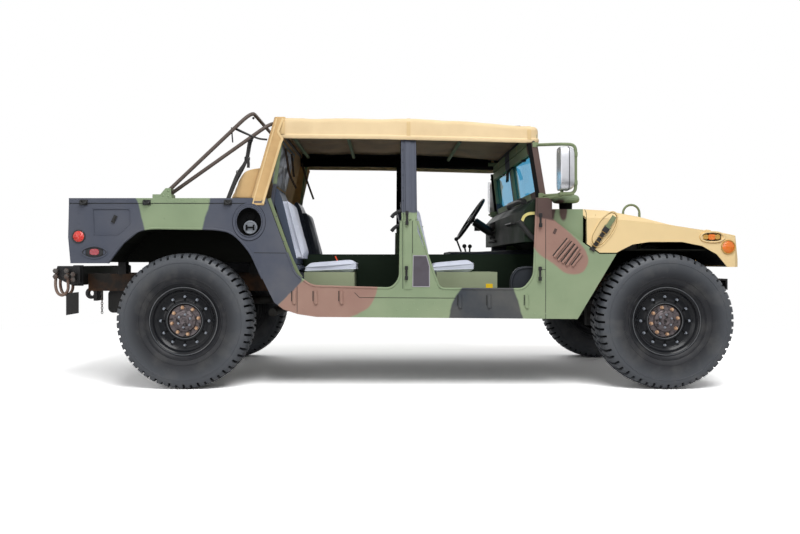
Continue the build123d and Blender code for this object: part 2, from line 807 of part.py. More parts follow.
def door_posts():
    """Posts between the pillar feet and the roof rails, and the slimmer ones behind the rear seats."""
    pieces = []
    x0, x1 = 1489, 1593
    top = rail_top(x1) - RAIL_BAR - SEAT_GAP
    points = [(BODY_HALF - 38, 1151), (BODY_HALF - 6, 1151), (RAIL_Y + 15, top), (RAIL_Y - 17, top)]
    post = front_profile(points, x0, x1)
    rear_top = rail_top(650) - RAIL_BAR - SEAT_GAP
    rear = [(575.2, 1290), (600, 1290), (668, rear_top), (644, rear_top)]
    stay = side_profile(rear, RAIL_Y - 12, RAIL_Y + 12)
    foot = block(575.2, 600, RAIL_Y - 12, RAIL_Y + 12, 1240, 1300)
    return both_sides(post) + both_sides(stay + foot)


def soft_top():
    """Canvas roof with skirts, rear flaps, gathered wings and a rear curtain with a window opening."""
    roof = side_profile(ROOF_LINE + SKIRT_LINE, -ROOF_HALF, ROOF_HALF)
    inner_roof = [(x, z - CANVAS) for x, z in ROOF_LINE[:-1]]
    inner_front = F - 855 - CANVAS
    inner_points = [(560, ROOF_LINE[0][1] - CANVAS)] + inner_roof
    inner_points += [(inner_front, 1776), (inner_front, 1650), (560, 1650)]
    inside = side_profile(inner_points, -ROOF_HALF + CANVAS, ROOF_HALF - CANVAS)
    shape = roof - inside
    flap = [(610, 1866), (685, 1866), (676, 1776), (591, 1377), (548, 1308), (470, 1308)]
    rear = [(610, 1866), (622, 1866), (482, 1308), (470, 1308)]
    for side in SIDES:
        shape += side_profile(flap, side * (ROOF_HALF - CANVAS), side * ROOF_HALF)
    shape += side_profile(rear, -ROOF_HALF, ROOF_HALF)
    for side in SIDES:
        shape += side_profile(BUNDLE, side * (WINDOW_HALF + 40), side * (ROOF_HALF - 5))
    return shape - rear_sheet(WINDOW_LOW, WINDOW_TOP, WINDOW_HALF, 30)


def rear_sheet(z0, z1, y_half, grow):
    """Slab in the plane of the rear curtain between two heights."""
    slope = (610 - 470) / (1866 - 1308)
    x0, x1 = 470 + slope * (z0 - 1308), 470 + slope * (z1 - 1308)
    points = [(x0 - grow, z0), (x1 - grow, z1), (x1 + CANVAS + grow, z1), (x0 + CANVAS + grow, z0)]
    return side_profile(points, -y_half, y_half)


def rear_window():
    """Clear sheet in the rear curtain."""
    return rear_sheet(WINDOW_LOW + SEAT_GAP, WINDOW_TOP - SEAT_GAP, WINDOW_HALF - SEAT_GAP, -4)


# ---- hood --------------------------------------------------------------------------------------------------
HINGE = (F + 500.0, 800.0)
HINGE_Y = 316.0
HOOD_HALF = BODY_HALF - 5
NOSE = [(F + 409, 1083), (F + 442, 1058), (F + 454, 1047), (F + 481, 867), (F + 487, 837)]
HOOD_TOP = [(F - 752, 1252), (F - 514, 1250), (F - 357, 1238), (F - 131, 1193), (F + 105, 1123)]
HOOD_SECTIONS = (
    # x, top height, half width of the flat top, height of the side crease
    (F - 800, 1252, HOOD_HALF - 315, 1172),
    (F - 514, 1250, HOOD_HALF - 305, 1170),
    (F - 357, 1238, HOOD_HALF - 275, 1160),
    (F - 131, 1193, HOOD_HALF - 245, 1140),
    (F + 105, 1123, HOOD_HALF - 175, 1108),
    (F + 520, 1066, HOOD_HALF - 175, 1040),
)
FRONT_ARCH = [
    (F + 397, 838),
    (F + 375, 867),
    (F + 329, 923),
    (F + 228, 980),
    (F + 93, 1007),
    (F - 131, 1007),
    (F - 244, 990),
    (F - 312, 956),
    (F - 353, 934),
    (F - 468, 934),
    (F - 559, 998),
]
SLOT = (F - 207.0, F + 43.0)
SLOT_HALF = 42.0
GRILLE_SLOTS = 8
GRILLE_PITCH = 104.0
LAMP_Y = 660.0
LAMP_Z = 960.0
LAMP_RADIUS = 92.0
MARKER = (F + 403.0, 973.0)
SIDE_MARKER_RADIUS = 45.0
TURN_LAMP = (F + 296.0, 1041.0)
TURN_HALF = (61.0, 27.0)


def hood_form(inset):
    """Solid form of the hood, each face moved in by the inset, its flat underside left where it is."""
    low = 700.0
    sections = []
    for x, top, flat, crease in HOOD_SECTIONS:
        half = HOOD_HALF - inset
        points = [(x, -half, low), (x, -half, crease - inset), (x, -flat, top - inset)]
        points += [(x, -y, z) for _, y, z in reversed(points)]
        sections.append(make_face(Polyline(points, close=True)))
    form = loft(sections, ruled=True)
    top_line = [(x, z + 40) for x, z in HOOD_TOP]
    nose = [(x - inset, z - inset * 0.4) for x, z in NOSE]
    nose[-1] = (NOSE[-1][0] - inset, NOSE[-1][1])
    outline = top_line + nose + [(NOSE[-1][0] - inset, low - 1), (F - 752, low - 1)]
    corner = 44.0
    front = NOSE[-1][0] + 5
    wide = HOOD_HALF - inset
    plan = [(F - 800, -wide - 1), (front - corner, -wide - 1)]
    plan += [(front - corner / 3, -wide + corner / 2), (front, -wide + 1.4 * corner)]
    plan += [(x, -y) for x, y in reversed(plan)]
    return form & side_profile(outline, -HOOD_HALF - 9, HOOD_HALF + 9) & plan_profile(plan, low, 1400)


def front_wall_holes(radius, y, z, depth):
    """Round cutter along x through the hood's nose."""
    return rod((F + 520 - depth, y, z), (F + 520, y, z), radius)


def hood():
    """Moulded hood shell with a slotted grille, wheel arches, slots for the lifting rings and hinge ears."""
    shape = hood_form(0) - hood_form(HOOD_SKIN)
    arch = FRONT_ARCH + [(F - 559, 1300), (F - 820, 1300), (F - 820, 600), (F + 397, 600)]
    for side in SIDES:
        shape -= side_profile(arch, side * 780, side * (HOOD_HALF + 20))
    shape -= block(F - 900, F + 397, -790, 790, 600, 1000)
    shape -= block(F + 300, F + 520, -HOOD_HALF - 10, HOOD_HALF + 10, 600, 837)
    for side in SIDES:
        y = side * (RAIL_OUT - 14)
        shape -= block(SLOT[0], SLOT[1], y - SLOT_HALF, y + SLOT_HALF, 1050, 1300)
    for index in range(GRILLE_SLOTS):
        y = GRILLE_PITCH * (index - (GRILLE_SLOTS - 1) / 2)
        shape -= block(F + 420, F + 520, y - 30, y + 30, 885, 1020)
    for side in SIDES:
        shape -= front_wall_holes(LAMP_RADIUS + SEAT_GAP, side * LAMP_Y, LAMP_Z, 120)
        face = side * HOOD_HALF
        shape -= cross_pin(*MARKER, face - side * 30, face + side * 5, SIDE_MARKER_RADIUS + SEAT_GAP)
        shape -= turn_lamp(side, 30, -5, SEAT_GAP)
    for side in SIDES:
        y0, y1 = side * (HINGE_Y - 8), side * (HINGE_Y + 8)
        ear = [(HINGE[0] - 16, HINGE[1]), (HINGE[0], HINGE[1] - 16), (HINGE[0] + 16, HINGE[1])]
        ear += [(F + 482, 850), (F + 470, 900), (F + 440, 850)]
        shape += side_profile(ear, y0, y1) - hood_outside()
        shape += cross_pin(*HINGE, y0, y1, 18)
        shape -= cross_pin(*HINGE, y0 - side, y1 + side, HINGE_PIN + PIN_FIT)
    return shape


def hood_outside():
    """Everything just outside the hood's nose, to trim what is joined to its inner face."""
    slab = side_profile([(F + 478, 880), (F + 486, 838), (F + 700, 838), (F + 700, 880)], -1200, 1200)
    return slab


def hood_lugs():
    """Lugs on the bumper that hold the hood's hinge pins."""
    lugs = []
    for side in SIDES:
        y0, y1 = side * (HINGE_Y + 14), side * (HINGE_Y + 32)
        lug = block(HINGE[0] - 18, HINGE[0] + 18, y0, y1, 751, HINGE[1]) + cross_pin(*HINGE, y0, y1, 18)
        lugs.append(lug + cross_pin(*HINGE, side * (HINGE_Y - 12), y1, HINGE_PIN))
    return lugs


def turn_lamp(side, depth, sunk, grow):
    """Oblong body between two depths under the hood's side face."""
    (x, z), (half_x, half_z) = TURN_LAMP, TURN_HALF
    y0, y1 = side * (HOOD_HALF - depth), side * (HOOD_HALF - sunk)
    return block(x - half_x - grow, x + half_x + grow, y0, y1, z - half_z - grow, z + half_z + grow)


def hood_lamps():
    """Headlamps in the nose, round markers and oblong turn lamps in the hood's sides."""
    lamps = []
    for side in SIDES:
        lamps.append(rod((F + 400, side * LAMP_Y, LAMP_Z), (F + 475, side * LAMP_Y, LAMP_Z), LAMP_RADIUS))
        face = side * HOOD_HALF
        lamps.append(cross_pin(*MARKER, face - side * 16, face + side * 8, SIDE_MARKER_RADIUS))
        lamps.append(turn_lamp(side, 18, 4, 0))
    return lamps


def hood_latches():
    """Strap latch on each side of the hood."""
    bars = []
    start, end = (F - 521 + 10, 985), (F - 371, 1158)
    for side in SIDES:
        y0, y1 = side * (HOOD_HALF + SEAT_GAP), side * (HOOD_HALF + 14)
        along = Vector(end[0] - start[0], end[1] - start[1])
        across = Vector(-along.Y, along.X).normalized() * 15
        points = [
            (start[0] - across.X, start[1] - across.Y),
            (end[0] - across.X, end[1] - across.Y),
            (end[0] + across.X, end[1] + across.Y),
            (start[0] + across.X, start[1] + across.Y),
        ]
        bars.append(side_profile(points, y0, y1))
    return bars


def inner_fenders():
    """Sheet between each front wheel and the engine bay."""
    top = 2 * TYRE_RADIUS + 26
    shape = block(TOE_BOARD + SHEET, F + 380, 500, 508, RAIL_TOP + 8, top)
    shape += block(TOE_BOARD + SHEET, F + 290, 500, INNER + 15, top - 8, top)
    shape += block(F - 100, F - 60, RAIL_OUT, 508, RAIL_TOP - 40, RAIL_TOP + 30)
    return both_sides(shape - block(TOE_BOARD, F - 360, 1030, 1200, 900, 1000))


# ---- seats -------------------------------------------------------------------------------------------------
SEAT_ROWS = (
    # base start and end, cushion start and end, back foot start and end, back head start and end, head z
    (808, 1162, 803, 1189, 752, 826, 640, 700, 1324),
    (1740, 2166, 1701, 2007, 1636, 1704, 1560, 1612, 1275),
)
SEAT_IN = 470.0
SEAT_OUT = BODY_HALF - 200
BASE_TOP = 800.0
CUSHION_LOW = BASE_TOP + SEAT_GAP
CUSHION_TOP = 868.0
BACK_LOW = CUSHION_TOP + 12


def seat_bases():
    """Boxes that carry the cushions."""
    bases = []
    for row in SEAT_ROWS:
        for side in SIDES:
            bases.append(block(row[0], row[1], side * SEAT_IN, side * SEAT_OUT, FLOOR, BASE_TOP))
    return bases


def seat_cushions():
    """Seat cushions, one solid each."""
    cushions = []
    for row in SEAT_ROWS:
        for side in SIDES:
            pad = block(row[2], row[3], side * SEAT_IN, side * SEAT_OUT, CUSHION_LOW, CUSHION_TOP)
            cushions.append(fillet(pad.edges(), 18))
    return cushions


def seat_backs():
    """Back cushions, one solid each."""
    backs = []
    for row in SEAT_ROWS:
        foot, foot_end, head, head_end, top = row[4:]
        for side in SIDES:
            points = [(foot, BACK_LOW), (foot_end, BACK_LOW), (head_end, top), (head, top)]
            backs.append(side_profile(points, side * SEAT_IN, side * SEAT_OUT))
    return backs


def seat_frames():
    """Sheet backs between the bases and the back cushions."""
    frames = []
    for row in SEAT_ROWS:
        base, foot, head, top = row[0], row[4], row[6], row[8]
        points = [
            (base - 30, 690),
            (base - SEAT_GAP, 690),
            (base - SEAT_GAP, 760),
            (base - 45, 790),
            (foot - SEAT_GAP, BACK_LOW),
            (head - SEAT_GAP, top),
            (head - 30, top),
            (foot - 30, BACK_LOW),
            (base - 73, 775),
            (base - 30, 745),
        ]
        for side in SIDES:
            frames.append(side_profile(points, side * (SEAT_IN + 20), side * (SEAT_OUT - 20)))
    return frames


def levers():
    """Gear, transfer and hand brake levers on the tunnel."""
    table = (
        # foot x, foot y, head x, head y, head z
        (F - 1290, 60, F - 1338, 60, 1060),
        (F - 1270, -60, F - 1284, -60, 1000),
        (F - 1220, 160, F - 1216, 160, 1003),
    )
    pieces = []
    for foot_x, foot_y, head_x, head_y, head_z in table:
        stem = rod((foot_x, foot_y, TUNNEL_TOP + 4), (head_x, head_y, head_z), 7)
        boot = upright(foot_x, foot_y, TUNNEL_TOP, TUNNEL_TOP + 8, 30)
        pieces.append(stem + boot + Pos(head_x, head_y, head_z) * Sphere(17))
    return pieces


def mirror_arms():
    """Mirror heads on bent tubes, bearing on the windshield frame."""
    head_y = BODY_HALF + 70
    points = [
        (F - 898, ROOF_HALF - 10, 1645),
        (F - 702, head_y, 1660),
        (F - 656, head_y, 1630),
        (F - 656, head_y, 1350),
        (F - 710, head_y, 1326),
        (F - 850, BODY_HALF - 100, 1326),
    ]
    tube = bent_tube(points, 9, 16)
    tube -= in_shield(shield_outline(SEAT_GAP), SHIELD_THICK + 2 * SEAT_GAP)
    solids = tube.solids().sort_by(SortBy.VOLUME)
    head = fillet(block(F - 764, F - 667, head_y - 75, head_y + 75, 1348, 1638).edges(), 12)
    stay = block(F - 670, F - 650, head_y - 8, head_y + 8, 1480, 1500)
    return both_sides(solids[-1] + head + stay)


# ---- write the nodes ---------------------------------------------------------------------------------------
def main():
    """Build every node and write it."""
    os.makedirs("parts", exist_ok=True)
    tyre_shape, rim_shape, knuckle_shape = tyre(), rim(), knuckle()
    wheels = (("front_left", F, 1), ("front_right", F, -1), ("rear_left", 0.0, 1), ("rear_right", 0.0, -1))
    for name, x, side in wheels:
        save("tyre_" + name, at_wheel(tyre_shape, x, side))
        save("rim_" + name, at_wheel(rim_shape, x, side))
    save("knuckle_left", at_wheel(knuckle_shape, F, 1))
    save("knuckle_right", at_wheel(knuckle_shape, F, -1))
    save("rear_hub_carriers", *[at_wheel(hub_carrier(), 0.0, side) for side in SIDES])
    save("suspension_arms", *suspension_arms())
    save("suspension_brackets", *suspension_brackets())
    save("spring_units", *springs())
    save("steering_rod", steering_rod())
    save("steering_wheel", steering_wheel())
    save("steering_column", steering_column())
    save("frame_rails", *frame_rails())
    save("frame_crossmembers", *frame_crossmembers(), *bed_mounts())
    save("front_bumper", front_bumper())
    save("rear_bumper", rear_bumper())
    save("engine_block", engine_block())
    save("driveline", *driveline())
    save("fuel_tank", fuel_tank())
    save("exhaust", exhaust())
    save("radiator", radiator())
    save("lift_brackets", *lift_brackets())
    save("cab_sides", *[cab_side(side) for side in SIDES])
    save("cab_floor", cab_floor())
    save("firewall", firewall())
    save("dash", dash())
    save("cowl_boxes", *cowl_boxes())
    save("air_intake", air_intake())
    save("rear_bulkhead", rear_bulkhead())
    save("bed_sides", *[bed_side(side) for side in SIDES])
    save("side_lamps", *side_lamps())
    save("fuel_filler", fuel_filler())
    save("bed_floor", bed_floor())
    save("wheelhouses", *wheelhouses())
    save("tailgate", tailgate())
    save("cargo_bows", *cargo_bows())
    save("windshield_frame", windshield_frame())
    save("windshield_glass", *windshield_glass())
    save("top_frame", *roof_rails(), *roof_bows(), *door_posts())
    save("soft_top", soft_top())
    save("rear_window", rear_window())
    save("hood", hood())
    save("hood_lamps", *hood_lamps())
    save("hood_latches", *hood_latches())
    save("inner_fenders", *inner_fenders())
    save("seat_bases", *seat_bases(), *seat_frames())
    save("seat_cushions", *seat_cushions())
    save("seat_backs", *seat_backs())
    save("levers", *levers())
    save("mirrors", *mirror_arms())


main()
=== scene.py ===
"""Looks of the army 4x4 car: finishes, tyres, canvas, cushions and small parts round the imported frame.

Shapes are drawn in millimetres, x forward from the rear axle, y to the left, z up from the ground, and
become metres in the frame's own coordinates when a piece is made.
"""

import json
import logging
import math
from dataclasses import dataclass, field
from enum import Enum
from typing import Optional, Sequence, Union

import bmesh
import bpy
import numpy as np
from mathutils import Matrix

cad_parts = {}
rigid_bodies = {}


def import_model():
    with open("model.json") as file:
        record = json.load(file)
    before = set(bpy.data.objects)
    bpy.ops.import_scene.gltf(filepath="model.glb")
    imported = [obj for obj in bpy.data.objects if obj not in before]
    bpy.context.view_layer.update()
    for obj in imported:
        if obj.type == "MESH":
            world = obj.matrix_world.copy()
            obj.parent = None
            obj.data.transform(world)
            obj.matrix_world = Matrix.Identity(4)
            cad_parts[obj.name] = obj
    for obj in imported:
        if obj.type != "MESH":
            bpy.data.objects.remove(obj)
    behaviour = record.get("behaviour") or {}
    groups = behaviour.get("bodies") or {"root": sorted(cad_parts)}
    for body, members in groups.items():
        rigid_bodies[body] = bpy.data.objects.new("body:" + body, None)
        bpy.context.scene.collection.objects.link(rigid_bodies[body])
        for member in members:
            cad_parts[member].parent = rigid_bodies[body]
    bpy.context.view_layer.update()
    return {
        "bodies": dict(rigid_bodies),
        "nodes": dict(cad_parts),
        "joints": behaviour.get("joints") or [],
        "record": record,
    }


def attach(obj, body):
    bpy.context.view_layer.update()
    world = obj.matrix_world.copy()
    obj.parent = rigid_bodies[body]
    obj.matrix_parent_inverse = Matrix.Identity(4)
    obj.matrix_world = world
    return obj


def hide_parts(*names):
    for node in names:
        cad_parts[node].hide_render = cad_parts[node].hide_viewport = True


Socket = bpy.types.NodeSocket
Tree = bpy.types.NodeTree
Number = Union[float, np.ndarray]
Point = Sequence[float]
Points = Sequence[Sequence[float]]

LOG = logging.getLogger("army_car")
MIDDLE_X = 1386.5  # from the rear axle to the origin of the frame
FRONT_AXLE = 3302.0
WALL = 1080.0  # half width over the body sides
HOOD_WALL = 1075.0  # half width over the hood
WHEEL_RADIUS = 466.0


class Side(Enum):
    """Side of the car, by the sign of y on it."""

    RIGHT = -1
    LEFT = 1


# ---- colours and nodes -------------------------------------------------------------------------------------
def linear(colour: str) -> tuple[float, float, float, float]:
    """Turn an sRGB hex colour into linear RGBA.

    Args:
        colour: Six hex digits, with or without a leading hash.

    Returns:
        Linear red, green, blue and an alpha of one.
    """
    digits = colour.lstrip("#")
    srgb = np.array([int(digits[i : i + 2], 16) for i in (0, 2, 4)]) / 255.0
    channels = np.where(srgb <= 0.04045, srgb / 12.92, ((srgb + 0.055) / 1.055) ** 2.4)
    return (float(channels[0]), float(channels[1]), float(channels[2]), 1.0)


def add_node(tree: Tree, kind: str, sockets: Optional[dict] = None, **settings: object) -> bpy.types.Node:
    """Add one node with its settings, socket values and links.

    Args:
        tree: Node tree that gets the node.
        kind: Blender's type name of the node, without ShaderNode in front.
        sockets: Input names or indices, each with a value or with the socket that feeds it.
        **settings: Attributes of the node and their values.

    Returns:
        The new node.
    """
    node = tree.nodes.new("ShaderNode" + kind)
    for key, value in settings.items():
        setattr(node, key, value)
    for key, value in (sockets or {}).items():
        if isinstance(value, Socket):
            tree.links.new(value, node.inputs[key])
        else:
            node.inputs[key].default_value = value
    return node


def blended(tree: Tree, amount: object, first: object, second: object, how: str = "MIX") -> Socket:
    """Mix two colours.

    Args:
        tree: Node tree.
        amount: Share of the second colour, a number or a socket.
        first: Colour or socket.
        second: Colour or socket.
        how: Blend type.

    Returns:
        The mixed colour.
    """
    mix = add_node(tree, "Mix", {0: amount, 6: first, 7: second}, data_type="RGBA", blend_type=how)
    return mix.outputs[2]


def rows_of(*axes: Number) -> np.ndarray:
    """Join coordinates into rows, one for each point, after spreading them over one another's shape."""
    return np.stack(np.broadcast_arrays(*axes), axis=-1).reshape(-1, len(axes))


# ---- finishes ----------------------------------------------------------------------------------------------
@dataclass(frozen=True)
class Finish:
    """Surface finish that becomes one material."""

    name: str

    def surface(self, tree: Tree) -> Socket:
        """Build the finish's nodes and return its shader."""
        raise NotImplementedError

    def material(self) -> bpy.types.Material:
        """Return the finish's material, made at the first call.

        Returns:
            The material.
        """
        made = bpy.data.materials.get(self.name)
        if made is None:
            made = bpy.data.materials.new(self.name)
            made.use_nodes = True
            made.node_tree.nodes.clear()
            shader = self.surface(made.node_tree)
            add_node(made.node_tree, "OutputMaterial", {0: shader})
        return made

    def grained(
        self, tree: Tree, place: Socket, cloud: Socket, rough: Point, grain: Point, sockets: dict
    ) -> Socket:
        """Finish an opaque surface: roughness that wanders with the clouds, and grain in the normal.

        Args:
            tree: Node tree of the material.
            place: Coordinates of the patterns.
            cloud: Large noise that the roughness follows.
            rough: Least and greatest roughness.
            grain: Spacing of the grain in millimetres, its detail and the strength of its relief.
            sockets: Colour and other inputs of the shader.

        Returns:
            The shader.
        """
        spacing, detail, strength = grain
        relief = add_node(
            tree, "TexNoise", {"Vector": place, "Scale": 1000 / spacing, "Detail": detail}
        ).outputs[0]
        uneven = add_node(tree, "MapRange", {0: cloud, 1: 0.3, 2: 0.7, 3: rough[0], 4: rough[1]}).outputs[0]
        bump = add_node(tree, "Bump", {"Strength": strength, "Distance": 0.001, "Height": relief}).outputs[0]
        return add_node(tree, "BsdfPrincipled", {**sockets, "Roughness": uneven, "Normal": bump}).outputs[0]


@dataclass(frozen=True)
class Paint(Finish):
    """Sprayed matt enamel on steel or moulded sheet: fine spray grain, faint dust low down, uneven sheen.

    The spray grain is drawn coarser than the real one, so that it shows.
    """

    colour: str = "#8C9779"
    dust: str = "#A89F8A"
    dustiness: float = 0.18
    roughness: float = 0.72
    grain_mm: float = 3.0
    mottle_mm: float = 260.0
    mottle: float = 0.10
    specular: float = 0.35

    def base(self, tree: Tree, place: Socket) -> object:
        """Return the paint's colour before dust and mottling."""
        return linear(self.colour)

    def surface(self, tree: Tree) -> Socket:
        """Build the paint: base colour, mottling, dust towards the ground, spray grain in the normal.

        Args:
            tree: Node tree of the material.

        Returns:
            The finish's shader.
        """
        place = add_node(tree, "TexCoord").outputs["Object"]
        colour = self.base(tree, place)
        cloud = add_node(
            tree, "TexNoise", {"Vector": place, "Scale": 1000 / self.mottle_mm, "Detail": 5.0}
        ).outputs[0]
        tone = add_node(
            tree, "MapRange", {0: cloud, 1: 0.25, 2: 0.75, 3: 1.0 - self.mottle, 4: 1.0 + self.mottle}
        ).outputs[0]
        colour = blended(tree, 1.0, colour, tone, "MULTIPLY")
        height = add_node(tree, "SeparateXYZ", {0: place}).outputs[2]
        low = add_node(tree, "MapRange", {0: height, 1: 1.3, 2: 0.4, 3: 0.25, 4: 1.0}).outputs[0]
        patchy = add_node(tree, "MapRange", {0: cloud, 1: 0.35, 2: 0.7, 3: 0.0, 4: self.dustiness}).outputs[0]
        dusted = add_node(tree, "Math", {0: low, 1: patchy}, operation="MULTIPLY").outputs[0]
        colour = blended(tree, dusted, colour, linear(self.dust))
        rough = (self.roughness - 0.07, self.roughness + 0.08)
        sockets = {"Base Color": colour, "Specular IOR Level": self.specular}
        return self.grained(tree, place, cloud, rough, (self.grain_mm, 2.0, 0.12), sockets)


@dataclass(frozen=True)
class Patch:
    """One field of camouflage: a convex outline in x and z, in millimetres from the rear axle."""

    colour: str
    outline: tuple[tuple[float, float], ...]

    def planes(self) -> list[tuple[float, float, float]]:
        """Edges as (normal x, offset, normal z), in metres: normal . point + offset is positive outside.

        Returns:
            One row for each edge.
        """
        corners = (np.array(self.outline) - (MIDDLE_X, 0.0)) / 1000.0
        middle = corners.mean(axis=0)
        following = np.roll(corners, -1, axis=0)
        along = following - corners
        normals = rows_of(along[:, 1], -along[:, 0])
        normals /= np.linalg.norm(normals, axis=1, keepdims=True)
        offsets = -np.einsum("ij,ij->i", normals, corners)
        flip = np.where(normals @ middle + offsets > 0, -1.0, 1.0)
        normals, offsets = normals * flip[:, None], offsets * flip
        return [(float(n[0]), float(d), float(n[1])) for n, d in zip(normals, offsets)]


@dataclass(frozen=True)
class CamouflagePaint(Paint):
    """Matt camouflage enamel sprayed in soft-edged fields over a green ground."""

    patches: tuple[Patch, ...] = ()
    edge_mm: float = 7.0
    waviness_mm: float = 26.0
    wander_mm: float = 200.0  # from one wave of an edge to the next
    corner_mm: float = 60.0
    wrap_from: float = 0.85

    def base(self, tree: Tree, place: Socket) -> object:
        """Lay the fields over the ground colour, their edges wavy and their corners rounded.

        Each field is the smooth maximum of its edges' distances. Past the side that faces -y the pattern
        slides forward with y, so that the ends and the far side get fields of their own.

        Args:
            tree: Node tree of the material.
            place: Coordinates of the pattern.

        Returns:
            The colour of the fields and the ground.
        """
        wander = add_node(
            tree, "TexNoise", {"Vector": place, "Scale": 1000 / self.wander_mm, "Detail": 3.0}
        ).outputs["Color"]
        centred = add_node(tree, "VectorMath", {0: wander, 1: (0.5, 0.5, 0.5)}, operation="SUBTRACT").outputs[0]
        shift = add_node(
            tree, "VectorMath", {0: centred, "Scale": 2 * self.waviness_mm / 1000}, operation="SCALE"
        ).outputs[0]
        moved = add_node(tree, "VectorMath", {0: place, 1: shift}, operation="ADD").outputs[0]
        parts = add_node(tree, "SeparateXYZ", {0: moved})
        across = add_node(tree, "SeparateXYZ", {0: place}).outputs[1]
        past = add_node(tree, "Math", {0: across, 1: self.wrap_from}, operation="ADD").outputs[0]
        past = add_node(tree, "Math", {0: past, 1: 0.0}, operation="MAXIMUM").outputs[0]
        slid = add_node(
            tree, "Math", {0: past, 1: -0.9, 2: parts.outputs[0]}, operation="MULTIPLY_ADD"
        ).outputs[0]
        point = add_node(tree, "CombineXYZ", {0: slid, 1: 1.0, 2: parts.outputs[2]}).outputs[0]
        colour: object = linear(self.colour)
        for patch in self.patches:
            inside: Optional[Socket] = None
            for plane in patch.planes():
                edge = add_node(
                    tree, "VectorMath", {0: point, 1: plane}, operation="DOT_PRODUCT"
                ).outputs["Value"]
                if inside is None:
                    inside = edge
                    continue
                inside = add_node(
                    tree, "Math", {0: inside, 1: edge, 2: self.corner_mm / 1000}, operation="SMOOTH_MAX"
                ).outputs[0]
            half = self.edge_mm / 1000
            cover = add_node(
                tree, "MapRange", {0: inside, 1: half, 2: -half}, interpolation_type="SMOOTHSTEP"
            ).outputs[0]
            colour = blended(tree, cover, colour, linear(patch.colour))
        return colour


@dataclass(frozen=True)
class Metal(Finish):
    """Bare or blackened metal, brushed or cast: uneven roughness, small pits and a little rust or grime.

    The pits are drawn coarser than real ones, so that they show.
    """

    colour: str = "#6C6C6E"
    grime: str = "#3A2C22"
    griminess: float = 0.35
    roughness: float = 0.45
    metallic: float = 0.9
    pit_mm: float = 5.0
    cloud_mm: float = 70.0

    def surface(self, tree: Tree) -> Socket:
        """Build the metal: grime in clouds, pits in the normal.

        Args:
            tree: Node tree of the material.

        Returns:
            The finish's shader.
        """
        place = add_node(tree, "TexCoord").outputs["Object"]
        cloud = add_node(
            tree, "TexNoise", {"Vector": place, "Scale": 1000 / self.cloud_mm, "Detail": 6.0}
        ).outputs[0]
        grimy = add_node(tree, "MapRange", {0: cloud, 1: 0.48, 2: 0.66, 3: 0.0, 4: self.griminess}).outputs[0]
        colour = blended(tree, grimy, linear(self.colour), linear(self.grime))
        rough = (self.roughness, self.roughness + 0.2)
        sockets = {"Base Color": colour, "Metallic": self.metallic}
        return self.grained(tree, place, cloud, rough, (self.pit_mm, 3.0, 0.2), sockets)


@dataclass(frozen=True)
class TyreRubber(Finish):
    """Moulded tyre rubber: charcoal, dusty in clouds, and darker towards the rim as painted shade.

    The grain is drawn coarser than the real one, so that it shows.
    """

    colour: str = "#3A3C40"
    dust: str = "#6B6965"
    sheen: float = 0.36
    specular: float = 0.3
    # inner is the colour at the rim, and fade gives the radii in metres over which it turns into the rubber's
    # own colour: painted shade.
    inner: str = ""
    fade: tuple[float, float] = (0.29, 0.42)
    cloud_mm: float = 1000 / 9  # nine clouds to a metre
    grain_mm: float = 1000 / 260

    def radial(self, tree: Tree, place: Socket) -> Socket:
        """Distance in metres from the nearer axle's line.

        Args:
            tree: Node tree of the material.
            place: Coordinates of the pattern.

        Returns:
            The distance.
        """
        flat = add_node(tree, "VectorMath", {0: place, 1: (1, 0, 1)}, operation="MULTIPLY").outputs[0]
        reach = []
        for axle in (0.0, FRONT_AXLE):
            middle = ((axle - MIDDLE_X) / 1000, 0, WHEEL_RADIUS / 1000)
            reach.append(
                add_node(tree, "VectorMath", {0: flat, 1: middle}, operation="DISTANCE").outputs["Value"]
            )
        return add_node(tree, "Math", {0: reach[0], 1: reach[1]}, operation="MINIMUM").outputs[0]

    def surface(self, tree: Tree) -> Socket:
        """Build the rubber: clouds of dust, fine grain and a soft sheen.

        Args:
            tree: Node tree of the material.

        Returns:
            The finish's shader.
        """
        place = add_node(tree, "TexCoord").outputs["Object"]
        cloud = add_node(
            tree, "TexNoise", {"Vector": place, "Scale": 1000 / self.cloud_mm, "Detail": 6.0}
        ).outputs[0]
        dusty = add_node(tree, "MapRange", {0: cloud, 1: 0.48, 2: 0.78, 3: 0.0, 4: 0.2}).outputs[0]
        ground: object = linear(self.colour)
        # Painted shade: the rubber darkens towards the rim, over the radii of fade.
        if self.inner:
            near, far = self.fade
            outward = add_node(
                tree, "MapRange", {0: self.radial(tree, place), 1: near, 2: far},
                interpolation_type="SMOOTHSTEP"
            ).outputs[0]
            ground = blended(tree, outward, linear(self.inner), linear(self.colour))
        colour = blended(tree, dusty, ground, linear(self.dust))
        rough = (self.sheen, self.sheen + 0.2)
        sockets = {"Base Color": colour, "Specular IOR Level": self.specular}
        return self.grained(tree, place, cloud, rough, (self.grain_mm, 2.0, 0.25), sockets)


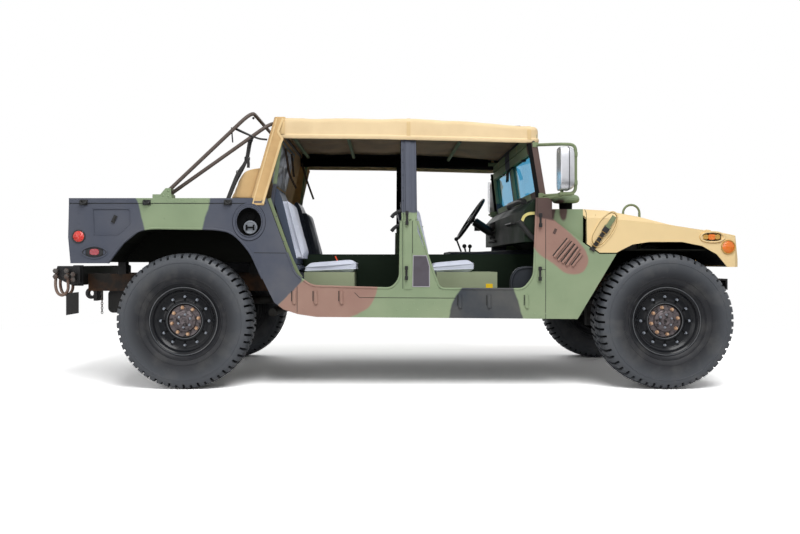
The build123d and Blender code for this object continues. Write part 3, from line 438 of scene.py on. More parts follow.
@dataclass(frozen=True)
class Cloth(Finish):
    """Woven cloth: warp and weft in the normal and the colour, faint stains, soft sheen at grazing angles.

    The thread spacing is drawn several times coarser than the real one, so that it shows.
    """

    colour: str = "#E2C594"
    stain: str = "#B99664"
    stain_share: float = 0.35
    thread_mm: float = 6.0
    by_uv: bool = True
    wrinkle: float = 0.5
    roughness: float = 0.88
    stain_mm: float = 312.5
    crease_mm: float = 1000 / 4.5  # nine creases to two metres

    def surface(self, tree: Tree) -> Socket:
        """Build the cloth: crossed sine threads, clouds of stain, and creases as ridged noise.

        Args:
            tree: Node tree of the material.

        Returns:
            The finish's shader.
        """
        coordinates = add_node(tree, "TexCoord")
        place = coordinates.outputs["Object"]
        weave_place = coordinates.outputs["UV"] if self.by_uv else place
        parts = add_node(tree, "SeparateXYZ", {0: weave_place})
        turns = 2 * math.pi * 1000 / self.thread_mm
        threads = []
        for index in (0, 1):
            angle = add_node(tree, "Math", {0: parts.outputs[index], 1: turns}, operation="MULTIPLY").outputs[0]
            threads.append(add_node(tree, "Math", {0: angle}, operation="SINE").outputs[0])
        weave = add_node(tree, "Math", {0: threads[0], 1: threads[1]}, operation="MULTIPLY").outputs[0]
        cloud = add_node(
            tree, "TexNoise", {"Vector": place, "Scale": 1000 / self.stain_mm, "Detail": 7.0}
        ).outputs[0]
        stained = add_node(
            tree, "MapRange", {0: cloud, 1: 0.46, 2: 0.72, 3: 0.0, 4: self.stain_share}
        ).outputs[0]
        colour = blended(tree, stained, linear(self.colour), linear(self.stain))
        tone = add_node(tree, "MapRange", {0: weave, 1: -1.0, 2: 1.0, 3: 0.955, 4: 1.03}).outputs[0]
        colour = blended(tree, 1.0, colour, tone, "MULTIPLY")
        crease = add_node(
            tree, "TexNoise",
            {"Vector": place, "Scale": 1000 / self.crease_mm, "Detail": 3.0, "Distortion": 0.4},
            noise_type="RIDGED_MULTIFRACTAL"
        ).outputs[0]
        folds = add_node(
            tree, "Bump", {"Strength": self.wrinkle, "Distance": 0.006, "Height": crease}
        ).outputs[0]
        bump = add_node(
            tree, "Bump", {"Strength": 0.35, "Distance": 0.0012, "Height": weave, "Normal": folds}
        ).outputs[0]
        return add_node(
            tree, "BsdfPrincipled",
            {
                "Base Color": colour, "Roughness": self.roughness, "Sheen Weight": 0.15, "Sheen Roughness": 0.5,
                "Normal": bump
            }
        ).outputs[0]


@dataclass(frozen=True)
class Clear(Finish):
    """Clear glass or plastic: tinted, smooth, a thin film of dust in clouds."""

    colour: str = "#CFE6EE"
    roughness: float = 0.03
    haze: float = 0.1
    least_haze: float = 0.0
    ior: float = 1.45
    film: str = "#D9DCDC"
    dust_mm: float = 1000 / 6  # six clouds to a metre

    def surface(self, tree: Tree) -> Socket:
        """Build the pane: tinted light straight through, a mirror gloss on top and a film of dust.

        Args:
            tree: Node tree of the material.

        Returns:
            The finish's shader.
        """
        place = add_node(tree, "TexCoord").outputs["Object"]
        through = add_node(tree, "BsdfTransparent", {0: linear(self.colour)}).outputs[0]
        gloss = add_node(tree, "BsdfGlossy", {"Roughness": self.roughness}).outputs[0]
        fresnel = add_node(tree, "Fresnel", {0: self.ior}).outputs[0]
        inner = add_node(tree, "NewGeometry").outputs["Backfacing"]
        mirror = add_node(tree, "MapRange", {0: inner, 3: fresnel, 4: 0.0}).outputs[0]
        pane = add_node(tree, "MixShader", {0: mirror, 1: through, 2: gloss}).outputs[0]
        cloud = add_node(
            tree, "TexNoise", {"Vector": place, "Scale": 1000 / self.dust_mm, "Detail": 6.0}
        ).outputs[0]
        film = add_node(
            tree, "MapRange", {0: cloud, 1: 0.3, 2: 0.75, 3: self.least_haze, 4: self.haze}
        ).outputs[0]
        dust = add_node(tree, "BsdfDiffuse", {0: linear(self.film)}).outputs[0]
        return add_node(tree, "MixShader", {0: film, 1: pane, 2: dust}).outputs[0]


@dataclass(frozen=True)
class Lens(Finish):
    """Moulded lamp lens: deep coloured plastic with a clear gloss and faint inner ribs.

    The ribs are drawn coarser than real ones, so that they show.
    """

    colour: str = "#E2701C"
    rib_mm: float = 6.0

    def surface(self, tree: Tree) -> Socket:
        """Build the lens: coloured plastic that glows a little inside, ribbed, under a glossy coat.

        Args:
            tree: Node tree of the material.

        Returns:
            The finish's shader.
        """
        place = add_node(tree, "TexCoord").outputs["Object"]
        height = add_node(tree, "SeparateXYZ", {0: place}).outputs[2]
        angle = add_node(
            tree, "Math", {0: height, 1: 2 * math.pi * 1000 / self.rib_mm}, operation="MULTIPLY"
        ).outputs[0]
        ribs = add_node(tree, "Math", {0: angle}, operation="SINE").outputs[0]
        bump = add_node(tree, "Bump", {"Strength": 0.4, "Distance": 0.001, "Height": ribs}).outputs[0]
        return add_node(
            tree, "BsdfPrincipled",
            {
                "Base Color": linear(self.colour), "Roughness": 0.18, "Subsurface Weight": 0.25,
                "Subsurface Scale": 0.01, "Coat Weight": 0.6, "Coat Roughness": 0.05, "Normal": bump
            }
        ).outputs[0]


# Colours of the camouflage, as they look on sunned and dusty enamel.
GREEN = "#8D9F7E"
GREY = "#4E5361"
BROWN = "#A07D71"
UMBER = "#584541"
SLATE = "#3F4652"
DEEP_GREY = "#3C4148"
BOW_GREEN = "#A5AA86"
RIGHT_SIDE_PATCHES = (
    Patch(
        GREY, ((-960, 700), (-960, 1420), (-330, 1420), (-300, 1290), (-200, 1190), (-165, 1090), (-160, 700))
    ),
    Patch(GREY, ((110, 1000), (110, 250), (480, 400), (808, 728), (850, 1420), (225, 1420))),
    Patch(BROWN, ((480, 380), (1085, 470), (1290, 575), (1335, 690), (1345, 770), (830, 770))),
    Patch(
        DEEP_GREY,
        ((1770, 400), (1791, 484), (1866, 670), (1930, 735), (2210, 735), (2275, 670), (2327, 484), (2350, 400))
    ),
    Patch(
        BROWN,
        (
            (2375, 980), (2421, 915), (2555, 815), (2652, 780), (2735, 800), (2768, 890), (2737, 970),
            (2506, 1185), (2400, 1270), (2375, 1250)
        )
    ),
    Patch(
        UMBER,
        ((2375, 1180), (2420, 1168), (2516, 1112), (2540, 1180), (2535, 1300), (2500, 1380), (2300, 1440))
    ),
    Patch(UMBER, ((2568, 1150), (2614, 1140), (2628, 1190), (2620, 1300), (2560, 1300))),
    Patch(UMBER, ((2380, 1560), (2470, 1560), (2500, 1340), (2370, 1340))),
    Patch(UMBER, ((2330, 1740), (2470, 1740), (2480, 1520), (2385, 1520))),
    Patch(GREY, ((1440, 1212), (1640, 1206), (1640, 1900), (1440, 1900))),
    Patch(BOW_GREEN, ((1066, 1700), (1118, 1700), (1118, 1920), (1066, 1920))),
    Patch(BOW_GREEN, ((1938, 1700), (1990, 1700), (1990, 1920), (1938, 1920)))
)

SEAT_PATCHES = (
    Patch(SLATE, ((560, 1400), (560, 680), (807, 680), (807, 800), (700, 1400))),
    Patch(SLATE, ((1500, 1400), (1500, 680), (1739, 680), (1739, 800), (1640, 1400)))
)

# Matt camouflage enamel, sprayed: no gloss, a fine grain, soft wavy edges between the fields.
CAMOUFLAGE = CamouflagePaint("camouflage_enamel", colour=GREEN, patches=RIGHT_SIDE_PATCHES)
# The same enamel sprayed past a mask: straight and sharp edges.
SEAT_ENAMEL = CamouflagePaint(
    "seat_base_enamel", colour="#97A183", patches=SEAT_PATCHES, edge_mm=2.0, waviness_mm=0.5, corner_mm=4.0,
    wrap_from=-3.0, dustiness=0.1
)
# Sand enamel on the moulded hood: pale, even, barely dusty.
TAN_ENAMEL = Paint("tan_enamel", colour="#F0D49F", dust="#D6BF94", dustiness=0.12, mottle=0.04)
# Sand enamel made browner and darker as painted shade, for the edges of a recess.
TAN_SHADE = Paint("tan_enamel_worn", colour="#A8854B", dustiness=0.05)
# Plain green and umber enamel, sprayed: matt, with dust low down.
GREEN_ENAMEL = Paint("green_enamel", colour="#7D8A68", dustiness=0.12)
UMBER_ENAMEL = Paint("umber_enamel", colour=UMBER, dustiness=0.1)
# Cab enamel darkened to nearly black green as painted shade for the inside of the cab and the bed, with hardly
# a highlight.
CAB_ENAMEL = Paint("cab_enamel", colour="#1C281D", dust="#2C352B", dustiness=0.12, specular=0.12, roughness=0.6)
# Enamel inside the wheel wells: near black, with dust low down.
WELL_ENAMEL = Paint("well_enamel", colour="#10120E", dust="#332F27", dustiness=0.2, specular=0.1)
# Satin black-brown enamel on bent tube: smooth, with a long soft highlight.
BROWN_ENAMEL = Paint(
    "brown_enamel", colour="#5B504A", dust="#7C7166", dustiness=0.08, roughness=0.55, mottle=0.05, grain_mm=1.5
)
# Chassis enamel, brushed on castings and plates: black with brown road dust.
CHASSIS_ENAMEL = Paint("chassis_enamel", colour="#26272A", dust="#4C463B", dustiness=0.3, roughness=0.6)
# Chassis enamel over rust: large brown patches and a rough skin.
RAIL_ENAMEL = Paint(
    "rusting_chassis_enamel", colour="#2C2723", dust="#7E5434", dustiness=0.75, roughness=0.7, mottle=0.2,
    mottle_mm=120.0
)
# Stove enamel on the pressed rim: dark and half glossy; its bent edge and the ring round the hub carry a pale
# grey line all round as painted highlight.
RIM_ENAMEL = Paint(
    "rim_enamel", specular=0.25, colour="#16181C", dust="#45423F", dustiness=0.12, roughness=0.24, mottle=0.06
)
RIM_EDGE_HIGHLIGHT = Paint("worn_rim_edge", colour="#54575C", dustiness=0.1, roughness=0.3, specular=0.4)
# Moulded polythene liner: dull black that swallows the light. The same black is painted shade in the ring round
# each rim's hub, painted shadows behind the rims' bolts, and painted shade along the roof rails and door posts
# inside.
BLACK_LINER_AND_SHADE = Paint(
    "arch_liner_moulded", colour="#0E0F10", dust="#23211D", specular=0.08, dustiness=0.2, roughness=0.8
)
# Smeared joint sealer: a dull dark line without dust. The same dark is painted shade beside the sill ribs and
# in the cowl vents' slots.
SEAM_DARK = Paint("seam_sealer", colour="#2C2E2C", dustiness=0.0, roughness=0.8)
# Printed dial and its enamelled pointer: dark satin and cream.
DIAL = Paint("dial_face", colour="#15181A", dustiness=0.0, roughness=0.3)
POINTER = Paint("pointer_enamel", colour="#D8D4C4", dustiness=0.0)
# Etched aluminium plate and its bare border: grey violet, softly mirroring.
DATA_PLATE = Metal("data_plate_etched", colour="#57525A", roughness=0.5, griminess=0.1, metallic=0.4)
PLATE_BORDER = Metal("data_plate_border", colour="#A9A6AC", roughness=0.45, griminess=0.1, metallic=0.4)
# Moulded nylon, yellow, grey and orange: flat bright colour.
YELLOW_TAG = Paint("yellow_tag", colour="#F4CB1C", dustiness=0.05)
FILLER_CAP = Paint("filler_cap_moulded", colour="#878C94", dustiness=0.15, roughness=0.5)
ORANGE = Paint("orange_plastic_moulded", colour="#E4502A", dustiness=0.05, roughness=0.4)
# Iron as cast: grey and grainy with brown bloom; left bare it rusts to brown clouds.
CAST_IRON = Metal("cast_iron", colour="#4B4A48", roughness=0.6, griminess=0.5)
RUSTED_IRON = Metal(
    "rusted_iron", colour="#9A8478", grime="#6F4936", roughness=0.6, griminess=0.7, metallic=0.3
)
# Chain steel, drop forged: grey with rust in its corners.
CHAIN_STEEL = Metal(
    "chain_steel", colour="#66625F", grime="#6B3F26", roughness=0.5, griminess=0.6, metallic=0.5
)
# Spring steel under thin black enamel: a narrow highlight along each coil.
SPRING_STEEL = Metal("spring_steel_enamelled", colour="#2A2B2E", roughness=0.45, griminess=0.2, metallic=0.3)
# Dipped aluminium fins: fine dark relief.
RADIATOR_FINS = Metal("radiator_fins", colour="#3A3C3E", roughness=0.5, griminess=0.3, pit_mm=3.0)
# Brass nut, turned: pale copper with baked dirt in small clouds.
BRASS_NUT = Metal(
    "brass_nut", colour="#D2AE8E", grime="#7A4526", roughness=0.4, griminess=0.5, metallic=0.5, cloud_mm=16.0
)
# Cast hub under grease: nearly all black, with bare glints.
GREASED_HUB = Metal(
    "greased_hub_cast", colour="#645C5E", grime="#120E0D", roughness=0.35, griminess=0.95, metallic=0.5,
    cloud_mm=22.0
)
# Blued bolt steel, rolled: cool grey points of light.
BOLT_STEEL = Metal("blued_bolt_steel", colour="#9AA0AA", roughness=0.35, griminess=0.3, metallic=0.5)
# Polished stainless shell and silvered glass: bright, mirroring the white studio.
MIRROR_SHELL = Metal("mirror_shell", colour="#D6D7DC", roughness=0.25, griminess=0.08, metallic=0.75)
SILVER_GLASS = Metal(
    "silvered_glass", colour="#E9EDF1", roughness=0.12, griminess=0.0, metallic=0.55, pit_mm=400.0
)
# Gilt lamp rim, plated: a warm thin line of light. The same gold is painted shade round the turn lamp's brow.
GILT_RIM_AND_SHADE = Metal("gilt_lamp_rim", colour="#D3A557", roughness=0.35, griminess=0.2, metallic=0.5)
# Tyre rubber, moulded: charcoal with a broad sheen, darkened towards the rim as painted shade; the grooves'
# floors are near black as painted shade, and dull.
RUBBER = TyreRubber("tyre_rubber_moulded", colour="#505358", dust="#807E7A", inner="#25262A")
GROOVE_PAINTED_SHADE = TyreRubber("tyre_groove_rubber", colour="#151618", dust="#2E2C2A", sheen=0.8, specular=0.05)
# Cotton canvas, woven and proofed: sandy, dull, with stains; at the rear it is darker and browner as painted
# shade.
CANVAS = Cloth("tan_canvas", colour="#F0D6AA", stain="#CDAE7E")
SHADED_REAR_CANVAS = Cloth("tan_canvas_aged", colour="#D6B27D", stain="#9F7847", stain_share=0.55, wrinkle=1.0)
# Canvas seen from inside: tan darkened as painted shade under the roof, with stains and deep creases; black
# inside the skirts.
CANVAS_INSIDE_SHADE = Cloth("canvas_lining", colour="#B39670", stain="#6A5A46", stain_share=0.5, wrinkle=1.4)
BLACK_SKIRT_INSIDE = Cloth("black_lining", colour="#1C1C1B", stain="#2B2A26", wrinkle=0.3)
# Folded canvas binding: lighter than the cloth, its thread running along it.
BINDING = Cloth("canvas_binding", colour="#E6C996", stain="#B0894F", thread_mm=5.0, by_uv=False, wrinkle=0.25)
# Webbing, woven of nylon: tight ribs, in brown, black and straw.
STRAP = Cloth("brown_webbing", colour="#5A4838", stain="#3A2F26", thread_mm=4.0, by_uv=False, wrinkle=0.1)
WEBBING = Cloth("webbing_woven", colour="#2B2A2A", stain="#4A463F", thread_mm=4.0, by_uv=False, wrinkle=0.1)
PALE_WEBBING = Cloth(
    "pale_webbing_woven", colour="#E0D487", stain="#A8935A", thread_mm=4.0, by_uv=False, wrinkle=0.1
)
# Cushion cloth, woven: pale blue grey, soft at its edges.
CUSHION = Cloth(
    "cushion_cloth_woven", colour="#D6DBEA", stain="#B4B8C8", thread_mm=7.0, by_uv=False, wrinkle=0.25
)
# Vinyl over foam, moulded or quilted: slate and black with a leathery sheen.
SLATE_VINYL = Paint(
    "slate_vinyl_moulded", colour="#475061", dust="#5D6068", dustiness=0.1, roughness=0.5, grain_mm=2.0
)
BLACK_VINYL = Paint("black_vinyl_quilted", colour="#181E28", dustiness=0.05, roughness=0.5, specular=0.3)
# Moulded rubber: soft dark grey without a clear highlight.
BLACK_RUBBER = Paint("latch_rubber_moulded", colour="#2A2A2C", dustiness=0.1, roughness=0.6)
# Moulded ABS: black with a broad highlight.
BLACK_PLASTIC = Paint("black_plastic_moulded", colour="#1E1F21", dustiness=0.06, roughness=0.45)
# Laminated glass: blue from the side, clear through, with a breath of dust.
WINDSHIELD = Clear("windshield_glass_laminated", colour="#8FCBE2", haze=0.1, ior=1.1)
# Clear vinyl sheet, calendered: milky and creased, it lets little through.
VINYL = Clear(
    "clear_vinyl_sheet", colour="#D9DCE2", roughness=0.3, haze=0.75, least_haze=0.4, ior=1.2, film="#C4C8D0"
)
# Acrylic lenses, moulded: deep colour lit from within under a hard gloss.
AMBER = Lens("amber_lens", colour="#F07C12")
RED = Lens("red_lens", colour="#E0362A")
DARK_RED = Lens("dark_red_lens", colour="#A81830")
# Pressed lamp glass: pale, ribbed upright.
HEADLAMP = Lens("headlamp_lens", colour="#C9CFD2", rib_mm=14.0)

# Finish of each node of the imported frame.
NODE_FINISHES: dict[Finish, tuple[str, ...]] = {
    CAMOUFLAGE: (
        "bed_sides", "cab_sides", "cowl_boxes", "tailgate", "windshield_frame", "top_frame", "air_intake",
        "fuel_filler"
    ),
    TAN_ENAMEL: ("hood",), CAB_ENAMEL: ("cab_floor", "firewall", "dash", "rear_bulkhead", "bed_floor"),
    GREEN_ENAMEL: ("lift_brackets", "mirrors"), SEAT_ENAMEL: ("seat_bases",),
    WELL_ENAMEL: ("wheelhouses", "inner_fenders"), BROWN_ENAMEL: ("cargo_bows",), RAIL_ENAMEL: ("frame_rails",),
    CHASSIS_ENAMEL: (
        "frame_crossmembers", "front_bumper", "rear_bumper", "suspension_arms", "suspension_brackets",
        "spring_units", "steering_rod", "knuckle_left", "knuckle_right", "rear_hub_carriers", "fuel_tank"
    ),
    CAST_IRON: ("engine_block", "driveline", "exhaust"), RADIATOR_FINS: ("radiator",),
    BLACK_PLASTIC: ("steering_wheel", "steering_column", "levers"), BLACK_RUBBER: ("hood_latches",),
    WINDSHIELD: ("windshield_glass",), VINYL: ("rear_window",), AMBER: ("hood_lamps",), RED: ("side_lamps",),
    CANVAS: ("soft_top",), CUSHION: ("seat_cushions", "seat_backs"),
    RUBBER: ("tyre_front_left", "tyre_front_right", "tyre_rear_left", "tyre_rear_right"),
    RIM_ENAMEL: ("rim_front_left", "rim_front_right", "rim_rear_left", "rim_rear_right")
}


# ---- surfaces from arrays ----------------------------------------------------------------------------------
@dataclass
class Surface:
    """Points in millimetres from the rear axle, and faces over them.

    Each entry of faces is an array of faces with equally many corners, and parts gives the finish index of
    each entry. uv, if there is one, holds a pair per point.
    """

    points: np.ndarray
    faces: list[np.ndarray]
    parts: list[int] = field(default_factory=lambda: [0])
    uv: Optional[np.ndarray] = None

    def painted(self, part: int) -> "Surface":
        """Return the surface with every face on another finish index."""
        return Surface(self.points, self.faces, [part] * len(self.faces), self.uv)

    def moved(self, offset: Point) -> "Surface":
        """Return the surface shifted by an offset."""
        return Surface(self.points + np.asarray(offset, float), self.faces, self.parts, self.uv)

    def mirrored(self) -> "Surface":
        """Return the surface mirrored in y, its faces turned back to point outwards."""
        return Surface(self.points * (1, -1, 1), [f[:, ::-1] for f in self.faces], self.parts, self.uv)

    def both_sides(self) -> "Surface":
        """Return the surface together with its mirror image."""
        return merged(self, self.mirrored())


def merged(*surfaces: Surface) -> Surface:
    """Join surfaces into one.

    Args:
        *surfaces: Surfaces in the order in which their points follow.

    Returns:
        All of them, with a uv only where each has one.
    """
    starts = np.cumsum([0] + [len(s.points) for s in surfaces[:-1]])
    faces = [f + start for s, start in zip(surfaces, starts) for f in s.faces]
    parts = [p for s in surfaces for p in s.parts]
    uv = None
    if all(s.uv is not None for s in surfaces):
        uv = np.concatenate([s.uv for s in surfaces])
    return Surface(np.concatenate([s.points for s in surfaces]), faces, parts, uv)


def grid_faces(rows: int, columns: int, wrap_rows: bool = False, wrap_columns: bool = False) -> np.ndarray:
    """Quads over a grid of points numbered row by row.

    Args:
        rows: Number of rows of points.
        columns: Number of columns of points.
        wrap_rows: Whether the last row joins the first.
        wrap_columns: Whether the last column joins the first.

    Returns:
        Array of quads.
    """
    i = np.arange(rows if wrap_rows else rows - 1)[:, None]
    j = np.arange(columns if wrap_columns else columns - 1)[None, :]
    below, right = (i + 1) % rows, (j + 1) % columns
    corners = [i * columns + j, i * columns + right, below * columns + right, below * columns + j]
    return np.stack([np.broadcast_to(c, (i.size, j.size)) for c in corners], axis=-1).reshape(-1, 4)


def smoothstep(low: float, high: float, value: Number) -> Number:
    """Cubic ramp from 0 at low to 1 at high."""
    t = np.clip((value - low) / (high - low), 0.0, 1.0)
    return t * t * (3 - 2 * t)


def rounded_path(corners: Points, reach: float, steps: int = 4, closed: bool = False) -> np.ndarray:
    """Round the corners of a polyline.

    Each corner becomes a quadratic curve (1-t)^2 A + 2t(1-t) C + t^2 B from the point A a reach before the
    corner C to the point B a reach after it. The reach is never more than 0.45 of a leg.

    Args:
        corners: Points of the polyline, two or three numbers each.
        reach: Distance from a corner at which its curve starts.
        steps: Points on each curve.
        closed: Whether the last point joins the first.

    Returns:
        Points of the rounded path.
    """
    c = np.asarray(corners, float)
    before, after = np.roll(c, 1, axis=0), np.roll(c, -1, axis=0)
    length_in = np.linalg.norm(c - before, axis=1, keepdims=True)
    length_out = np.linalg.norm(after - c, axis=1, keepdims=True)
    a = c + (before - c) * np.minimum(reach / length_in, 0.45)
    b = c + (after - c) * np.minimum(reach / length_out, 0.45)
    t = np.linspace(0, 1, steps)[None, :, None]
    curves = (1 - t) ** 2 * a[:, None] + 2 * t * (1 - t) * c[:, None] + t**2 * b[:, None]
    if closed:
        return curves.reshape(-1, c.shape[1])
    return np.concatenate([c[:1], curves[1:-1].reshape(-1, c.shape[1]), c[-1:]])


def revolved(profile: Points, segments: int, centre: Point = (0, 0, 0), side: int = 1) -> Surface:
    """Turn a profile round an axis along y.

    A point at angle a is the centre plus (r cos a, side * y, r sin a).

    Args:
        profile: Rows of (y, r), from one end of the surface to the other.
        segments: Steps round the axis.
        centre: Middle of the axis.
        side: 1 to leave the profile's y, -1 to mirror it.

    Returns:
        The surface, closed round the axis.
    """
    angle = np.linspace(0, 2 * np.pi, segments, endpoint=False)[:, None]
    y, r = np.asarray(profile, float).T[:, None]
    points = rows_of(r * np.cos(angle), side * y, r * np.sin(angle))
    faces = grid_faces(segments, len(profile), wrap_rows=True)
    return Surface(points + np.asarray(centre, float), [faces if side > 0 else faces[:, ::-1]])


def swept(path: np.ndarray, section: np.ndarray, up: Point = (0, 0, 1), closed: bool = False) -> Surface:
    """Carry a closed section along a path.

    At each station the section lies across the path, its first axis along cross(tangent, up) and its second
    along the normal of those two. The ends are capped.

    Args:
        path: Points of the path.
        section: Rows of (across, above) offsets.
        up: Direction that the section's second axis leans to.
        closed: Whether the path is a loop.

    Returns:
        The swept surface.
    """
    if closed:
        tangent = np.roll(path, -1, axis=0) - np.roll(path, 1, axis=0)
    else:
        tangent = np.gradient(path, axis=0)
    tangent /= np.linalg.norm(tangent, axis=1, keepdims=True)
    across = np.cross(tangent, np.asarray(up, float))
    across /= np.linalg.norm(across, axis=1, keepdims=True)
    above = np.cross(across, tangent)
    points = path[:, None] + section[None, :, :1] * across[:, None] + section[None, :, 1:] * above[:, None]
    n, m = len(path), len(section)
    faces = [grid_faces(n, m, wrap_rows=closed, wrap_columns=True)[:, ::-1]]
    if not closed:
        faces += [np.arange(m)[None, :], (np.arange(m)[None, ::-1] + (n - 1) * m)]
    return Surface(points.reshape(-1, 3), faces, [0] * len(faces))


def circle(radius: float, count: int) -> np.ndarray:
    """Points of a circle, for a section."""
    angle = np.linspace(0, 2 * np.pi, count, endpoint=False)
    return radius * rows_of(np.cos(angle), np.sin(angle))


def rectangle(width: float, height: float) -> np.ndarray:
    """Corners of a rectangle round the middle, for a section."""
    return np.array([(-1, -1), (1, -1), (1, 1), (-1, 1)]) * (width / 2, height / 2)


def prism(outline: Points, y0: float, y1: float) -> Surface:
    """Push a closed outline of x and z from y0 to y1, with flat ends.

    Args:
        outline: Corners in x and z.
        y0: Place of one end.
        y1: Place of the other end.

    Returns:
        The closed solid.
    """
    flat = np.asarray(outline, float)
    n = len(flat)
    rings = [rows_of(flat[:, 0], y, flat[:, 1]) for y in (y0, y1)]
    faces = [grid_faces(2, n, wrap_columns=True), np.arange(n)[None, ::-1], np.arange(n)[None, :] + n]
    return Surface(np.concatenate(rings), faces, [0, 0, 0])


def box(low: Point, high: Point) -> Surface:
    """Box between two corners."""
    outline = [(low[0], low[2]), (high[0], low[2]), (high[0], high[2]), (low[0], high[2])]
    return prism(outline, low[1], high[1])


def repeated(surface: Surface, places: np.ndarray, turns: Optional[np.ndarray] = None) -> Surface:
    """Copy a surface to many places.

    Args:
        surface: What is copied, drawn round the origin.
        places: Where each copy goes, one row each.
        turns: A rotation matrix for each copy, or none.

    Returns:
        All the copies as one surface.
    """
    copies = len(places)
    base = np.broadcast_to(surface.points, (copies,) + surface.points.shape)
    if turns is not None:
        base = np.einsum("kij,kpj->kpi", turns, base)
    points = (base + np.asarray(places, float)[:, None]).reshape(-1, 3)
    step = (np.arange(copies) * len(surface.points))[:, None, None]
    return Surface(points, [(f[None] + step).reshape(-1, f.shape[1]) for f in surface.faces], surface.parts)


def ring_of(piece: Surface, count: int, radius: float, y: float, start: float = 0.0) -> Surface:
    """Copies of a piece round the y axis, each drawn round the origin with its head towards +y.

    Args:
        piece: What is copied.
        count: Number of copies.
        radius: Radius of the circle that they stand on.
        y: Place of the circle.
        start: Angle of the first copy, in radians.

    Returns:
        All the copies.
    """
    angle = start + np.linspace(0, 2 * np.pi, count, endpoint=False)
    places = rows_of(radius * np.cos(angle), y, radius * np.sin(angle))
    return repeated(piece, places)


def bolt(across: float, height: float) -> Surface:
    """Hexagonal head on a washer, with a chamfered top.

    Args:
        across: Width of the head.
        height: Height with the washer.

    Returns:
        The bolt, drawn round the origin.
    """
    profile = [(0, across * 0.75), (2, across * 0.75), (2, across * 0.55), (height - 2, across * 0.55)]
    return revolved(profile + [(height, across * 0.42), (height, 0)], 6)


def upright(surface: Surface, x: float, y: float) -> Surface:
    """Stand a surface turned about the y axis on end: its own y becomes z.

    Args:
        surface: Surface turned about the y axis.
        x: Where its axis goes.
        y: Where its axis goes.

    Returns:
        The standing surface.
    """
    px, py, pz = surface.points.T
    points = rows_of(px + x, pz + y, py)
    return Surface(points, [f[:, ::-1] for f in surface.faces], surface.parts)


def make_piece(
    name: str, surface: Surface, finishes: Sequence[Finish], sharp: float = 35.0, weld: bool = True
) -> bpy.types.Object:
    """Make a mesh object from a surface.

    Args:
        name: Name of the piece.
        surface: Its shape, in millimetres from the rear axle.
        finishes: Finishes that the surface's parts refer to.
        sharp: Angle in degrees above which an edge stays sharp.
        weld: Whether double points are merged and the faces turned outwards.

    Returns:
        The new object, with its place in its mesh.
    """
    mesh = bpy.data.meshes.new(name)
    points = (surface.points - (MIDDLE_X, 0.0, 0.0)) / 1000.0
    counts = np.concatenate([np.full(len(f), f.shape[1]) for f in surface.faces])
    corners = np.concatenate([f.ravel() for f in surface.faces]).astype(np.int32)
    starts = np.concatenate([[0], np.cumsum(counts)[:-1]]).astype(np.int32)
    parts = np.concatenate([np.full(len(f), p) for f, p in zip(surface.faces, surface.parts)]).astype(np.int32)
    mesh.vertices.add(len(points))
    mesh.vertices.foreach_set("co", points.astype(np.float32).ravel())
    mesh.loops.add(len(corners))
    mesh.loops.foreach_set("vertex_index", corners)
    mesh.polygons.add(len(counts))
    mesh.polygons.foreach_set("loop_start", starts)
    mesh.polygons.foreach_set("material_index", parts)
    mesh.polygons.foreach_set("use_smooth", np.ones(len(counts), bool))
    mesh.update(calc_edges=True)
    if surface.uv is not None:
        layer = mesh.uv_layers.new(name="cut")
        layer.data.foreach_set("uv", (surface.uv[corners] / 1000.0).astype(np.float32).ravel())
    if weld:
        made = bmesh.new()
        made.from_mesh(mesh)
        bmesh.ops.remove_doubles(made, verts=made.verts, dist=2e-5)
        bmesh.ops.recalc_face_normals(made, faces=made.faces)
        made.to_mesh(mesh)
        made.free()
    mesh.set_sharp_from_angle(angle=math.radians(sharp))
    piece = bpy.data.objects.new(name, mesh)
    bpy.context.scene.collection.objects.link(piece)
    for finish in finishes:
        mesh.materials.append(finish.material())
    return piece


def add_modifier(piece: bpy.types.Object, kind: str, **settings: object) -> None:
    """Add a modifier with its settings to a piece.

    Args:
        piece: Object that gets the modifier.
        kind: Blender's type name of the modifier.
        **settings: Attributes of the modifier and their values.
    """
    modifier = piece.modifiers.new(kind.lower(), kind)
    for key, value in settings.items():
        setattr(modifier, key, value)


@dataclass
class Assembly:
    """Sub-assembly that makes its pieces and sets them on one body of the frame."""

    body: str = "chassis"

    def add(
        self, name: str, surface: Surface, finishes: Sequence[Finish], slot: str, body: Optional[str] = None,
        bevel: float = 0.0, replaces: Sequence[str] = (), sharp: float = 35.0, weld: bool = True
    ) -> bpy.types.Object:
        """Make one piece and set it on its body.

        Args:
            name: Name of the piece.
            surface: Its shape.
            finishes: Its finishes.
            slot: Not used.
            body: Body that it rides on, or none for the assembly's own.
            bevel: Width of the rounding of its edges, in millimetres.
            replaces: CAD nodes that it stands for.
            sharp: Angle above which an edge stays sharp.
            weld: Whether double points are merged.

        Returns:
            The new object.
        """
        piece = make_piece(name, surface, finishes, sharp, weld)
        if bevel:
            add_modifier(piece, "BEVEL", width=bevel / 1000, segments=2, limit_method="ANGLE", angle_limit=0.7)
        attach(piece, body or self.body)
        if replaces:
            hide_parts(*replaces)
        LOG.info("%s rides on %s", name, body or self.body)
        return piece


